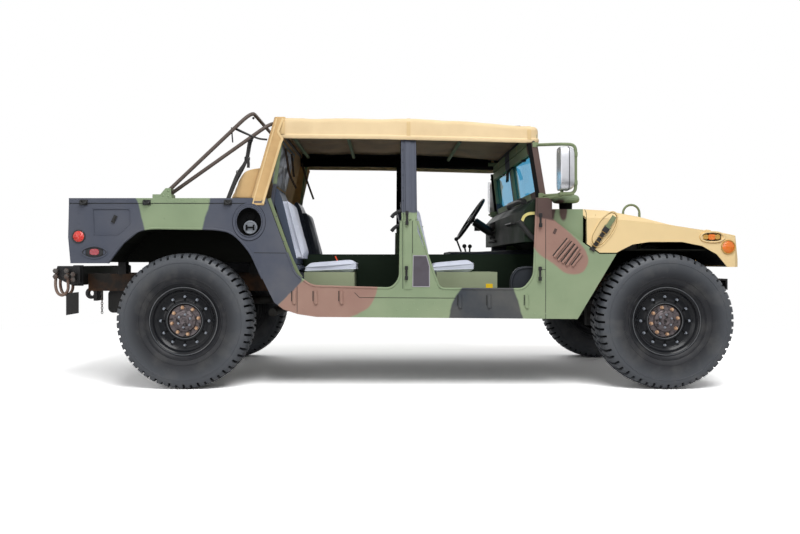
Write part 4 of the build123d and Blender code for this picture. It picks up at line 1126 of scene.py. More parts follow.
# ---- wheels ------------------------------------------------------------------------------------------------
@dataclass
class Wheel(Assembly):
    """Lugged tyre on a recessed black rim with two rings of fasteners."""

    corner: str = "front_right"
    axle_x: float = FRONT_AXLE
    side: Side = Side.RIGHT
    axle_z: float = WHEEL_RADIUS
    middle_y: float = 914.0
    tyre_radius: float = WHEEL_RADIUS
    tread_depth: float = 15.0
    cut_half: float = 152.0
    cut_foot: float = 425.0  # radius below which nothing is cut
    lugs: int = 56
    half_tread: float = 150.0  # past it the foot of the shoulder is left whole
    half_crown: float = 140.0  # past it every second groove is shallow
    shallow: float = 0.15
    guard_ring: float = 1.6  # rise of the ring below the shoulder
    rim_bolts: int = 12
    rim_bolt_circle: float = 166.0
    hub_nuts: int = 8
    hub_nut_circle: float = 93.0
    hub_bolts: int = 6
    hub_bolt_circle: float = 44.0
    hub_radius: float = 104.0
    recess_radius: float = 116.0
    recess_floor: float = 70.0

    def centre(self) -> tuple[float, float, float]:
        """Middle of the wheel."""
        return (self.axle_x, self.side.value * self.middle_y, self.axle_z)

    def tyre(self) -> Surface:
        """Tyre as a grid of angle and profile.

        The profile runs from bead to bead. Each pitch of the tread has angles at the foot and the top of a
        lug's flanks, so the lugs are crisp. Rings are turned by a share of the pitch that grows with the
        distance from the middle, which leans the lugs, and a half pitch between the two sides.

        Returns:
            The tyre, with its rubber as part 0 and the floors of its grooves, near black as painted shade, as
            part 1.
        """
        depth, top = self.tread_depth, self.tyre_radius
        half = np.array(
            [
                (0, top), (3, top), (4, top), (22, top), (40, top - 0.5), (58, top - 1), (60, top - 1),
                (66, top - 1.5), (68, top - 1.5), (92, top - 3), (116, top - 6), (130, top - 11),
                (138, top - 17), (146, top - 27), (150.5, top - 35), (151, top - 37), (153, top - 42),
                (156, top - 50), (156.5, top - 56), (157, 408), (157.6, 403), (160, 401.5), (160, 398),
                (158, 396.5), (158.4, 388), (159, 368), (158.6, 345), (156.5, 320), (153.4, 303), (155, 301.5),
                (154.6, 298.5), (151.8, 297), (145, 273), (141.4, 267), (145, 264.5), (144.4, 260),
                (137.5, 257), (126, 243), (121, 238), (119.5, 235.5), (117, 229), (112, 219), (108, 211)
            ]
        )
        lift = np.array([0, 0, 1, 1, 1, 1, 0, 0, 1, 1, 1, 1, 1, 1, 0.6, 0] + [0] * 27, float)
        solid = np.array([0] * 16 + [1, 1, 0] + [0] * 24, float)
        lean = 0.25 * smoothstep(0, 90, half[:, 0])
        axial = np.concatenate([-half[::-1, 0], half[1:, 0]])
        radial = np.concatenate([half[::-1, 1], half[1:, 1]])
        rise = np.concatenate([lift[::-1], lift[1:]])
        ring = np.concatenate([solid[::-1], solid[1:]])
        turn = np.concatenate([0.5 - lean[::-1], lean[1:]])
        phase = np.array([0.0, 0.03, 0.2, 0.5, 0.69, 0.72, 0.88])
        height = np.array([0.0, 1.0, 1.0, 1.0, 1.0, 0.0, 0.0])
        angle = ((np.arange(self.lugs)[:, None] + phase) * 2 * np.pi / self.lugs).reshape(-1, 1)
        lug = np.tile(height, self.lugs)[:, None]
        cut = depth * (1 - lug * rise[None] - (1 - rise[None]) * (np.abs(axial) > self.half_tread)[None])
        short = np.roll(
            np.repeat(np.where(np.arange(self.lugs) % 2, 1.0, self.shallow), len(phase)), 1
        )[:, None]
        cut = cut * np.where(np.abs(axial)[None] > self.half_crown, short, 1.0)
        on_tread = (np.abs(axial) < self.cut_half)[None] * (radial > self.cut_foot)[None]
        r = radial[None] - np.where(on_tread, cut, 0.0) + self.guard_ring * ring[None]
        theta = angle + turn[None] * 2 * np.pi / self.lugs
        points = rows_of(r * np.cos(theta), self.side.value * axial[None], r * np.sin(theta))
        faces = grid_faces(len(angle), len(axial), wrap_rows=True)
        # Faces deep in the grooves take the near black of painted shade.
        groove = np.where(on_tread, cut, 0.0).ravel()[faces].mean(axis=1) > 0.6 * depth
        faces = faces if self.side is Side.LEFT else faces[:, ::-1]
        return Surface(points + self.centre(), [faces[~groove], faces[groove]], [0, 1])

    def ribs(self) -> Surface:
        """Short radial blocks inboard of the rim's bolts, black as painted shadows of the bolts.

        Returns:
            The blocks, round the origin.
        """
        angle = np.linspace(0, 2 * np.pi, self.rim_bolts, endpoint=False)
        bolt_shadow_block = box((141, 84, -5), (158, 92, 5))
        c, s, zero, one = np.cos(angle), np.sin(angle), np.zeros_like(angle), np.ones_like(angle)
        turns = np.stack(
            [np.stack([c, zero, -s], 1), np.stack([zero, one, zero], 1), np.stack([s, zero, c], 1)], axis=1
        )
        return repeated(bolt_shadow_block, np.zeros((len(angle), 3)), turns)

    def rim(self) -> Surface:
        """Rim from a rounded outline turned round the axle, with bolts, nuts and a stepped hub.

        Returns:
            The rim at its place, in six parts as build names their finishes.
        """
        outline = [
            (-126, 203), (-126, 233), (-119, 233), (-119, 214), (119, 214), (119, 233), (123, 234.5),
            (126.5, 233), (127, 226), (116, 213), (102, 205), (96, 198), (91, 190), (84, 184), (84, 150),
            (86, 138), (93, 134), (93, 118), (88, 114), (80, 112), (80, 78), (96, 74), (99, 60), (104, 56),
            (104, 34), (112, 32), (112, 18), (108, 16), (108, 0)
        ]
        front = revolved(rounded_path(outline, 2.5, 3), 96)
        middle = front.points[front.faces[0]].mean(axis=1)
        reach = np.hypot(middle[:, 0], middle[:, 2])
        outside = middle[:, 1] > self.recess_floor
        hub = outside & (reach < self.hub_radius)
        # Painted shade: the outer face's ring round the hub goes black.
        recess = outside & (reach < self.recess_radius) & ~hub
        front = Surface(
            front.points, [front.faces[0][~hub & ~recess], front.faces[0][hub], front.faces[0][recess]],
            [0, 3, 4]
        )
        back = revolved([(-126, 203), (60, 203), (68, 190), (68, 72), (-15, 72), (-15, 34), (56, 34)], 96)
        bolts = ring_of(bolt(14, 16), self.rim_bolts, self.rim_bolt_circle, 84).painted(1)
        nuts = ring_of(bolt(18, 18), self.hub_nuts, self.hub_nut_circle, 80, 0.2).painted(2)
        caps = ring_of(bolt(12, 9), self.hub_bolts, self.hub_bolt_circle, 104, 0.4).painted(1)
        # Painted highlight: the bent lip and the ring round the hub are pale grey all round.
        lip = revolved(
            rounded_path([(124, 233.4), (126.8, 234.6), (128.2, 231.5), (127.0, 228.5)], 0.6, 2), 96
        ).painted(5)
        ridge = revolved(
            rounded_path([(92.6, 119), (94.2, 120), (94.2, 123), (92.8, 124)], 0.6, 2), 96
        ).painted(5)
        # The blocks behind the bolts are black as painted shadows.
        whole = merged(front, back, lip, ridge, bolts, nuts, caps, self.ribs().painted(4))
        placed = whole if self.side is Side.LEFT else whole.mirrored()
        return placed.moved(self.centre())

    def build(self) -> None:
        """Make the tyre and the rim."""
        body = "wheel_" + self.corner
        self.add(
            "lugged_tyre_" + self.corner, self.tyre(), [RUBBER, GROOVE_PAINTED_SHADE], "tyre_rubber", body,
            replaces=["tyre_" + self.corner], sharp=38
        )
        finishes = [RIM_ENAMEL, BOLT_STEEL, BRASS_NUT, GREASED_HUB, BLACK_LINER_AND_SHADE, RIM_EDGE_HIGHLIGHT]
        self.add(
            "dished_rim_" + self.corner, self.rim(), finishes, "dark_paint", body,
            replaces=["rim_" + self.corner]
        )


# ---- soft top ----------------------------------------------------------------------------------------------
def ruffle(along: Number, seed: float = 0.0) -> Number:
    """Slow irregular wave from -1 to 1 along a length in millimetres: three sines of unlike pitch."""
    return (
        0.5 * np.sin(along / 37 + seed) + 0.3 * np.sin(along / 21 + 2.1 * seed + 1)
        + 0.2 * np.sin(along / 13 + seed)
    )


@dataclass
class SoftTop(Assembly):
    """Canvas roof on its bows, with a rear curtain, its window and gathered wings."""

    rear_x: float = 608.0
    front_x: float = 2452.0
    half: float = 940.0
    edge_radius: float = 30.0
    corner_radius: float = 38.0
    sag: float = 26.0
    roof_steps: tuple[int, int] = (98, 75)  # points along and across
    bows: tuple[float, ...] = (608.0, 671.0, 1092.0, 1541.0, 1964.0, 2417.0)
    roof_line: tuple[tuple[float, float], ...] = (
        (600, 1884), (1621, 1878), (1848, 1866), (2181, 1842), (2421, 1821), (2450, 1818)
    )
    hem_line: tuple[tuple[float, float], ...] = (
        (600, 1732), (681, 1730), (1343, 1724), (1932, 1710), (2354, 1698), (2447, 1704)
    )
    foot_z: float = 1308.0
    foot_x: float = 470.0
    foot_half: float = 1084.0
    flap_foot: float = 1256.0
    flap_edge: tuple[tuple[float, float], ...] = (
        (1256, 556), (1700, 668), (1722, 680), (1740, 664), (1772, 645), (1810, 657), (1884, 684)
    )
    window: tuple[float, float, float] = (440.0, 1478.0, 1790.0)

    def roof(self, x: Number) -> Number:
        """Height of the taut cloth at x."""
        return np.interp(x, *np.transpose(self.roof_line)) - 5.0

    def sagging(self, x: np.ndarray, y: np.ndarray) -> np.ndarray:
        """Drop of the cloth between the bows.

        The squared sine of the way from bow to bow, deepest in the middle of the roof, nothing over the side
        rails, plus shallow creases that run out from the bows' ends.

        Args:
            x: Places along the roof.
            y: Places across it.

        Returns:
            The drop at each place.
        """
        bows = np.asarray(self.bows)
        bay = np.clip(np.searchsorted(bows, x, side="right") - 1, 0, len(bows) - 2)
        width = bows[bay + 1] - bows[bay]
        way = (x - bows[bay]) / width
        depth = self.sag * np.minimum(width / 420.0, 1.0)
        belly = depth * np.sin(np.pi * way) ** 2 * (1 - 0.9 * (np.abs(y) / self.half) ** 2.5)
        creases = 2.2 * ruffle(x + 0.35 * np.abs(y), 0.4) * np.sin(np.pi * way) ** 2
        return belly + creases + 1.2 * ruffle(y * 1.3 + x * 0.2, 1.7) * np.sin(np.pi * way) ** 2

    def canopy(self) -> Surface:
        """Roof sheet with its skirts.

        A grid over the roof has its front corners rounded in plan: a point within the corner's square moves in
        along its ray by the ratio of the larger offset to the distance. From the grid's edge the sheet turns
        down over a quarter round and falls to the hem, which is folded back on itself.

        Returns:
            The sheet with its uv, its roof, skirt and hem as parts 0, 1 and 2.
        """
        r, big = self.edge_radius, self.corner_radius
        gx = np.linspace(self.rear_x, self.front_x - r, self.roof_steps[0])
        gy = np.linspace(-self.half + r, self.half - r, self.roof_steps[1])
        x, y = np.meshgrid(gx, gy, indexing="ij")
        mid_x, mid_y = self.front_x - big, self.half - big
        dx, dy = x - mid_x, np.abs(y) - mid_y
        inner = (dx > 0) & (dy > 0)
        pull = np.where(inner, np.maximum(dx, dy) / np.maximum(np.hypot(dx, dy), 1e-6), 1.0)
        x = np.where(inner, mid_x + dx * pull, x)
        y = np.where(inner, np.sign(y) * (mid_y + dy * pull), y)
        z = self.roof(x) - self.sagging(x, y)
        index = np.arange(x.size).reshape(x.shape)
        edge = np.concatenate([index[:, 0], index[-1, 1:-1], index[::-1, -1]])
        ex, ey, ez = x.ravel()[edge], y.ravel()[edge], z.ravel()[edge]
        out = rows_of(np.clip(ex - mid_x, 0, None), np.sign(ey) * np.clip(np.abs(ey) - mid_y, 0, None))
        out /= np.linalg.norm(out, axis=1, keepdims=True)
        along = np.concatenate([[0], np.cumsum(np.hypot(np.diff(ex), np.diff(ey)))])
        hem = np.interp(ex + r * out[:, 0], *np.transpose(self.hem_line))
        turn = np.radians([22.5, 45.0, 67.5, 90.0])
        rows = [(r * math.sin(a), ez - r * (1 - math.cos(a)), r * a) for a in turn]
        start = ez - r
        falls = (0.2, 0.4, 0.6, 0.8, 1.0)
        for share in falls:
            low = start + (hem + 30 - start) * share
            rows.append((r + (1 + 2.5 * share) * ruffle(along, 0.2), low, r * 1.57 + start - low))
        for lift, proud in ((30, 4.0), (24, 8.0), (9, 7.0), (0, 3.0)):
            rows.append((r + proud + 3 * ruffle(along, 0.2), hem + lift, r * 1.57 + start - hem - lift))
        wall = [rows_of(ex + out[:, 0] * reach, ey + out[:, 1] * reach, level) for reach, level, _ in rows]
        spread = [rows_of(ex, ey) + out * np.reshape(length, (-1, 1)) for _, _, length in rows]
        count = len(edge)
        ring = np.concatenate([edge[None], x.size + np.arange(len(rows) * count).reshape(len(rows), count)])
        quads = grid_faces(len(ring), count)
        wall_faces = ring.ravel()[quads][:, ::-1]
        cut = (count - 1) * (len(turn) + len(falls))
        points = np.concatenate([rows_of(x, y, z), *wall])
        uv = np.concatenate([rows_of(x, y), *spread])
        faces = [grid_faces(*x.shape)[:, ::-1], wall_faces[:cut], wall_faces[cut:]]
        return Surface(points, faces, [0, 1, 2], uv)

    def widen(self, z: Number) -> Number:
        """Half width of the rear sheet at a height: it flares from the roof to the body sides."""
        top = float(self.roof_line[0][1])
        return np.minimum(
            self.half + 4 + (top - z) / (top - self.foot_z) * (self.foot_half - self.half - 4), self.foot_half
        )

    def rear_x_at(self, z: Number) -> Number:
        """Place of the rear plane at a height."""
        return (
            self.foot_x + (self.rear_x - self.foot_x) / (self.roof_line[0][1] - self.foot_z) * (z - self.foot_z)
        )

    def curtain(self) -> Surface:
        """Rear curtain that wraps round both corners as flaps.

        Columns run from the front edge of the right flap, round the corner, across the back, and forward along
        the left flap. Rows run down. The flaps reach lower than the curtain, over the body sides. The window's
        opening is left out.

        Returns:
            The sheet with its uv.
        """
        radius, top = 14.0, float(self.roof_line[0][1]) - 4
        flap = np.linspace(1, 0, 14)
        arc = np.radians(np.linspace(0, 90, 5))[1:-1]
        across = np.linspace(-1, 1, 95)
        n_flap, n_arc = len(flap), len(arc)
        low = np.concatenate(
            [np.full(n_flap, self.flap_foot), np.full(n_arc, self.foot_z), np.full(len(across), self.foot_z)]
        )
        low = np.concatenate([low, np.full(n_arc, self.foot_z), np.full(n_flap, self.flap_foot)])
        way = np.linspace(0, 1, 62)[:, None]
        z = top + (low[None] - top) * way
        half, back = self.widen(z), self.rear_x_at(z)
        front = np.interp(z, *np.transpose(self.flap_edge))
        x, y = np.empty_like(z), np.empty_like(z)
        sides = ((slice(0, n_flap), flap, -1.0), (slice(-n_flap, None), flap[::-1], 1.0))
        for part, share, side in sides:
            x[:, part] = back[:, part] + radius + share * (front[:, part] - back[:, part] - radius)
            y[:, part] = side * half[:, part]
        arcs = ((slice(n_flap, n_flap + n_arc), arc, -1.0), (slice(-n_flap - n_arc, -n_flap), arc[::-1], 1.0))
        for part, angle, side in arcs:
            x[:, part] = back[:, part] + radius * (1 - np.sin(angle))
            y[:, part] = side * (half[:, part] - radius * (1 - np.cos(angle)))
        middle = slice(n_flap + n_arc, n_flap + n_arc + len(across))
        slack = 5 * ruffle(across * 900 + 0.2 * z[:, middle], 0.9) * np.sin(np.pi * way) * (1 - across**8)
        x[:, middle] = back[:, middle] - np.abs(slack) * 0.8
        y[:, middle] = across * (half[:, middle] - radius)
        fold = 1.6 * ruffle(z * 1.4, 0.3)
        y[:, :n_flap] -= fold[:, :n_flap] * 0.5
        y[:, -n_flap:] += fold[:, -n_flap:] * 0.5
        faces = grid_faces(*z.shape)
        points = rows_of(x, y, z)
        centre = points[faces].mean(axis=1)
        half_window, window_low, window_top = self.window
        hole = (
            (np.abs(centre[:, 1]) < half_window) & (centre[:, 2] > window_low) & (centre[:, 2] < window_top)
            & (centre[:, 0] < self.rear_x - 2)
        )
        length = np.concatenate(
            [np.zeros((len(z), 1)), np.cumsum(np.hypot(np.diff(x, axis=1), np.diff(y, axis=1)), axis=1)], axis=1
        )
        return Surface(points, [faces[~hole]], [0], rows_of(length, z))

    def pane(self) -> Surface:
        """Clear window: a crumpled sheet just inside the curtain, creased by crossing ridged waves.

        Returns:
            The sheet.
        """
        half_window, low, top = self.window
        y, z = np.meshgrid(
            np.linspace(-half_window - 16, half_window + 16, 90), np.linspace(low - 16, top + 16, 44),
            indexing="ij"
        )
        inside = (
            np.clip(1 - (np.abs(y) / half_window) ** 6, 0, 1)
            * np.clip(1 - (np.abs(2 * (z - low) / (top - low) - 1)) ** 6, 0, 1)
        )
        crumple = 9 * np.abs(np.sin(y / 61 + 1.5 * np.sin(z / 80))) + 6 * np.abs(np.sin((y + 2 * z) / 97)) - 6
        x = self.rear_x_at(z) + 5 + crumple * inside
        return Surface(rows_of(x, y, z), [grid_faces(*y.shape)])

    def wing(self) -> Surface:
        """Gathered side wing of the curtain, a slack bag behind the right corner.

        A rounded profile is carried across the car and shrinks towards both ends as a superellipse. Folds are
        sines that turn with the height.

        Returns:
            The right wing with its uv.
        """
        profile = rounded_path(
            [(508, 1514), (452, 1512), (404, 1492), (352, 1420), (318, 1346), (304, 1311), (478, 1311)], 30, 6
        )
        u = np.linspace(0, 1, 46)[:, None]
        y = -1018 + 548 * u
        v = np.linspace(0, 1, len(profile))[None, :]
        plane_z = profile[None, :, 1]
        plane_x = self.rear_x_at(plane_z) + 6
        swell = (1 - np.abs(2 * u - 1) ** 7) ** 0.4
        folds = swell * (
            24 * np.sin(2 * np.pi * (2.4 * u + 0.5 * v)) + 6 * np.sin(2 * np.pi * (6.3 * u - 0.8 * v))
        )
        x = plane_x + swell * (profile[None, :, 0] - plane_x) - folds * np.sin(np.pi * v)
        points = rows_of(x, y + 12 * np.sin(5 * v) * (1 - u), plane_z)
        return Surface(points, [grid_faces(len(u), v.size)], [0], rows_of(1.2 * y, 420 * v))

    def bindings(self) -> Surface:
        """Doubled edges: the band over the rear of the roof, the flaps' edges, the window's frame and seams.

        Returns:
            All the doubled edges.
        """
        strips = []
        top = float(self.roof(645.0))
        hoop = [
            (646, -self.half - 10, 1760), (646, -self.half - 8, top - 26), (646, -self.half + 22, top + 3.5)
        ]
        hoop += [(x, -y, z) for x, y, z in reversed(hoop)]
        band = rounded_path(hoop, 12, 5)
        strips.append(swept(band, rectangle(2.6, 70), up=(1, 0, 0)))
        for x in (1541.0, 2380.0):
            line = [
                (x, -self.half - 6, 1722), (x, -self.half - 2.5, self.roof(x) - 30),
                (x, -self.half + 26, self.roof(x) + 1.5)
            ]
            line += [(a, -b, c) for a, b, c in reversed(line)]
            strips.append(swept(rounded_path(line, 12, 5), rectangle(2.0, 26), up=(1, 0, 0)))
        half_window, low, top = self.window
        frame = [
            (y, z)
            for y, z in ((-half_window, low), (half_window, low), (half_window, top), (-half_window, top))
        ]
        path = rounded_path([(self.rear_x_at(z) + 3, y, z) for y, z in frame], 40, 6, closed=True)
        strips.append(swept(path, rectangle(34, 5.0), up=(1, 0, 0), closed=True))
        for side in (-1, 1):
            z = np.linspace(1266, 1868, 40)
            edge = np.interp(z, *np.transpose(self.flap_edge)) - 9
            for x, section in ((edge, rectangle(16, 2.6)), (self.rear_x_at(z) + 22, rectangle(9, 2.2))):
                line = rows_of(x, side * (self.widen(z) + 2.5), z)
                strips.append(swept(line, section, up=(0, 1, 0)))
        return merged(*strips)

    def straps(self) -> Surface:
        """Webbing that hangs inside from the rear bow, for rolling the curtain up.

        Returns:
            The three straps.
        """
        hanging = (
            [(604, -300, 1752), (622, -300, 1640), (634, -302, 1550), (690, -304, 1442)],
            [(640, 600, 1750), (670, 600, 1640), (704, 602, 1540), (744, 604, 1430)],
            [(610, 60, 1760), (622, 60, 1650), (630, 62, 1570)]
        )
        return merged(*[swept(rounded_path(path, 60, 6), rectangle(17, 2.4), up=(0, 1, 0)) for path in hanging])

    def build(self) -> None:
        """Make the canopy, the curtain, its window, the wings, the bindings and the straps."""
        # Inner faces: tan darkened as painted shade under the roof, black inside the skirts, plain canvas at
        # the hem.
        cloths = [CANVAS, CANVAS, CANVAS, CANVAS_INSIDE_SHADE, BLACK_SKIRT_INSIDE, CANVAS]
        canopy = self.add(
            "canvas_roof", self.canopy(), cloths, "canvas_cloth", replaces=["soft_top"], weld=False, sharp=60
        )
        add_modifier(canopy, "SUBSURF", levels=1, render_levels=1)
        add_modifier(canopy, "SOLIDIFY", thickness=0.003, offset=-1.0, material_offset=3)
        # The rear curtain and the wings take the darker, browner canvas of painted shade.
        curtain = self.add(
            "rear_curtain", self.curtain(), [SHADED_REAR_CANVAS], "canvas_cloth", replaces=["soft_top"], weld=False,
            sharp=60
        )
        add_modifier(curtain, "SUBSURF", levels=1, render_levels=1)
        add_modifier(curtain, "SOLIDIFY", thickness=0.0025, offset=-1.0)
        pane = self.add(
            "rear_window_sheet", self.pane(), [VINYL], "clear_sheet", replaces=["rear_window"], weld=False,
            sharp=70
        )
        add_modifier(pane, "SOLIDIFY", thickness=0.0012, offset=0.0)
        right = self.wing()
        for name, shape in (("gathered_wing_right", right), ("gathered_wing_left", right.mirrored())):
            wing = self.add(
                name, shape, [SHADED_REAR_CANVAS], "canvas_cloth", replaces=["soft_top"], weld=False, sharp=60
            )
            add_modifier(wing, "SUBSURF", levels=1, render_levels=1)
            add_modifier(wing, "SOLIDIFY", thickness=0.0025, offset=0.0)
        bindings = self.add("canvas_bindings", self.bindings(), [BINDING], "canvas_cloth")
        straps = self.add("curtain_straps", self.straps(), [STRAP], "canvas_cloth")


# ---- seats -------------------------------------------------------------------------------------------------
def hexahedron(corners: Points) -> Surface:
    """Six-sided solid from its four lower and four upper corners, each ring in the same turn."""
    faces = np.array([(3, 2, 1, 0), (4, 5, 6, 7), (0, 1, 5, 4), (1, 2, 6, 5), (2, 3, 7, 6), (3, 0, 4, 7)])
    return Surface(np.asarray(corners, float), [faces])


def inflated(
    shape: Surface, voxel_mm: float, swell_mm: float, pressure: float, frames: int = 20
) -> bpy.types.Mesh:
    """Fill a closed shape like a cushion.

    The shape is remeshed in voxels and blown up as cloth with a pressure inside and no gravity, and no point
    moves further than the swell.

    Args:
        shape: The slack cushion, in millimetres from the rear axle.
        voxel_mm: Size of the voxels.
        swell_mm: Furthest that a point moves.
        pressure: Pressure of the cloth simulation.
        frames: Length of the simulation.

    Returns:
        The filled mesh.
    """
    scene = bpy.context.scene
    rough = make_piece("slack_cushion", shape, [])
    add_modifier(rough, "REMESH", mode="VOXEL", voxel_size=voxel_mm / 1000, use_smooth_shade=True)
    graph = bpy.context.evaluated_depsgraph_get()
    mesh = bpy.data.meshes.new_from_object(rough.evaluated_get(graph))
    bpy.data.objects.remove(rough)
    work = bpy.data.objects.new("filling", mesh)
    scene.collection.objects.link(work)
    start = np.empty(len(mesh.vertices) * 3, np.float32)
    mesh.vertices.foreach_get("co", start)
    cloth = work.modifiers.new("cloth", "CLOTH")
    cloth.settings.quality = 4
    cloth.settings.use_pressure = True
    cloth.settings.uniform_pressure_force = pressure
    cloth.settings.effector_weights.gravity = 0.0
    cloth.point_cache.frame_start, cloth.point_cache.frame_end = 1, frames
    for frame in range(1, frames + 1):
        scene.frame_set(frame)
    result = bpy.data.meshes.new_from_object(work.evaluated_get(bpy.context.evaluated_depsgraph_get()))
    blown = np.empty_like(start)
    result.vertices.foreach_get("co", blown)
    move = (blown - start).reshape(-1, 3)
    far = np.linalg.norm(move, axis=1, keepdims=True)
    move *= np.minimum(1.0, swell_mm / 1000 / np.maximum(far, 1e-9))
    mesh.vertices.foreach_set("co", (start.reshape(-1, 3) + move).astype(np.float32).ravel())
    mesh.update()
    bpy.data.objects.remove(work)
    bpy.data.meshes.remove(result)
    scene.frame_set(1)
    return mesh


@dataclass(frozen=True)
class SeatRow:
    """Places of one row of seats, in millimetres from the rear axle."""

    name: str
    cushion: tuple[float, float]
    foot: tuple[float, float]
    head: tuple[float, float]
    head_z: float


@dataclass
class Seats(Assembly):
    """Four stuffed seats: cushions and backs with piped seams."""

    rows: tuple[SeatRow, ...] = (
        SeatRow("rear", (774, 1204), (750, 812), (638, 692), 1336),
        SeatRow("front", (1678, 2030), (1624, 1682), (1548, 1598), 1287)
    )
    inner: float = 470.0
    outer: float = 880.0
    low: float = 800.3
    high: float = 868.0
    back_low: float = 880.0
    slack: float = 15.0
    voxel: float = 10.0
    swell: float = 24.0
    pressure: float = 8.0

    def seat_shape(self, row: SeatRow) -> Surface:
        """Slack seat cushion of the right-hand seat, its front end higher than its rear.

        Args:
            row: Places of the row.

        Returns:
            The slack cushion.
        """
        x0, x1 = row.cushion[0] + self.slack, row.cushion[1] - self.slack
        y0, y1 = -self.outer + self.slack, -self.inner - self.slack
        ring = [(x0, y0), (x1, y0), (x1, y1), (x0, y1)]
        below = [(x, y, self.low + (4 if x == x0 else 20)) for x, y in ring]
        above = [(x, y, self.high + (-30 if x == x0 else 0)) for x, y in ring]
        return hexahedron(below + above)

    def back_shape(self, row: SeatRow) -> Surface:
        """Slack back cushion of the right-hand seat, leaning back.

        Args:
            row: Places of the row.

        Returns:
            The slack cushion.
        """
        y0, y1 = -self.outer + self.slack, -self.inner - self.slack
        corners = []
        for (x0, x1), z in ((row.foot, self.back_low - 4), (row.head, row.head_z - self.slack)):
            a, b = x0 + 6, x1 - 6
            corners += [(a, y0, z), (b, y0, z), (b, y1, z), (a, y1, z)]
        return hexahedron(corners)

    def piping(self, mesh: bpy.types.Mesh, loop: np.ndarray) -> Surface:
        """Cord round a filled mesh: the loop's points drawn to the surface, carrying a small round section.

        Args:
            mesh: The filled cushion.
            loop: Points near its seam.

        Returns:
            The cord.
        """
        body = bpy.data.objects.new("piping_body", mesh)
        bpy.context.scene.collection.objects.link(body)
        bpy.context.view_layer.update()
        found = []
        for point in (loop - (MIDDLE_X, 0, 0)) / 1000.0:
            found.append(body.closest_point_on_mesh(tuple(point))[1])
        bpy.data.objects.remove(body)
        path = np.array(found) * 1000 + (MIDDLE_X, 0, 0)
        smooth = (np.roll(path, 1, axis=0) + 2 * path + np.roll(path, -1, axis=0)) / 4
        return swept(smooth, circle(3.6, 8), up=(0.31, 0.05, 0.95), closed=True)

    def loops(self, corners: np.ndarray) -> list[np.ndarray]:
        """Rounded loops along the two large faces of a six-sided solid."""
        rings = (corners[:4], corners[4:])
        return [rounded_path(ring, 30, 16, closed=True) for ring in rings]

    def dress(
        self, name: str, mesh: bpy.types.Mesh, cord: Surface, cover: Finish, node: str, left: bool
    ) -> None:
        """Make one cushion and its piping from the right-hand shape, on either side.

        Args:
            name: Name of the piece.
            mesh: The filled cushion of the right-hand seat.
            cord: Its piping.
            cover: Finish of both.
            node: CAD node that the cushion stands for.
            left: Whether it goes to the left-hand seat.
        """
        shift = (0.0, (self.inner + self.outer) if left else 0.0, 0.0)
        own = mesh.copy()
        own.name = name
        own.transform(Matrix.Translation((0.0, shift[1] / 1000.0, 0.0)))
        own.materials.clear()
        own.materials.append(cover.material())
        own.polygons.foreach_set("use_smooth", np.ones(len(own.polygons), bool))
        piece = bpy.data.objects.new(name, own)
        bpy.context.scene.collection.objects.link(piece)
        add_modifier(piece, "SUBSURF", levels=1, render_levels=1)
        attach(piece, self.body)
        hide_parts(node)
        self.add(name + "_piping", cord.moved(shift), [cover], "cushion_cloth")

    def shells(self) -> Surface:
        """Padded shells behind the back cushions, round at the top, and the rolls at their feet.

        Returns:
            The shells of all four seats.
        """
        parts = []
        for row in self.rows:
            x, top = row.head[0], row.head_z
            outline = [
                (x - 57, top + 6), (x - 52, top + 44), (x - 34, top + 63), (x - 14, top + 47), (x + 10, top - 6)
            ]
            outline += [
                (row.foot[0] + 6, self.back_low + 10), (row.foot[0] + 10, self.back_low - 30),
                (row.foot[0] - 22, self.back_low)
            ]
            parts.append(prism(rounded_path(outline, 12, 4, closed=True), -self.outer + 12, -self.inner - 10))
            roll = circle(24, 18) + (row.foot[0] + 2, self.low + 26)
            parts.append(prism(roll, -self.outer + 14, -self.inner - 14))
        return merged(*parts).both_sides()

    def build(self) -> None:
        """Fill each row's seat and back once, and set them on both sides."""
        self.add("seat_shells", self.shells(), [SLATE_VINYL], "cushion_cloth", bevel=7.0)
        for row in self.rows:
            for kind, shape, node in (
                ("seat", self.seat_shape(row), "seat_cushions"), ("back", self.back_shape(row), "seat_backs")
            ):
                mesh = inflated(shape, self.voxel, self.swell, self.pressure)
                corners = shape.points
                if kind == "back":
                    corners = corners[[0, 3, 7, 4, 1, 2, 6, 5]]
                cord = merged(*[self.piping(mesh, loop) for loop in self.loops(corners)])
                for left, cover in ((False, CUSHION), (True, SLATE_VINYL)):
                    side = "left" if left else "right"
                    self.dress(f"{row.name}_{kind}_{side}", mesh, cord, cover, node, left)


# ---- small parts -------------------------------------------------------------------------------------------
def oval(half_x: float, half_z: float, count: int = 48, power: float = 2.0) -> np.ndarray:
    """Points of an oval in x and z; a power above 2 squares it off, below 2 sharpens it to an eye.

    Args:
        half_x: Half of its length.
        half_z: Half of its height.
        count: Number of points.
        power: Exponent of the superellipse.

    Returns:
        Rows of x and z round the middle.
    """
    angle = np.linspace(0, 2 * np.pi, count, endpoint=False)
    c, s = np.cos(angle), np.sin(angle)
    return rows_of(
        half_x * np.sign(c) * np.abs(c) ** (2 / power), half_z * np.sign(s) * np.abs(s) ** (2 / power)
    )


def hoop(outline: np.ndarray, centre: Point, width: float, height: float) -> Surface:
    """Flat ring on a side: an outline of x and z round a centre carries a bar, height standing out along y.

    Args:
        outline: Rows of x and z.
        centre: Where the outline's middle goes.
        width: Width of the bar in the ring's plane.
        height: How far the bar stands out.

    Returns:
        The closed ring.
    """
    x, y, z = centre
    path = rows_of(outline[:, 0] + x, y, outline[:, 1] + z)
    return swept(path, rectangle(width, height), up=(0, 1, 0), closed=True)


def on_wall(line: Points, out: float = 0.0) -> list[tuple[float, float, float]]:
    """Put points of x and z on the right body side, moved out from it."""
    return [(x, -WALL - out, z) for x, z in line]


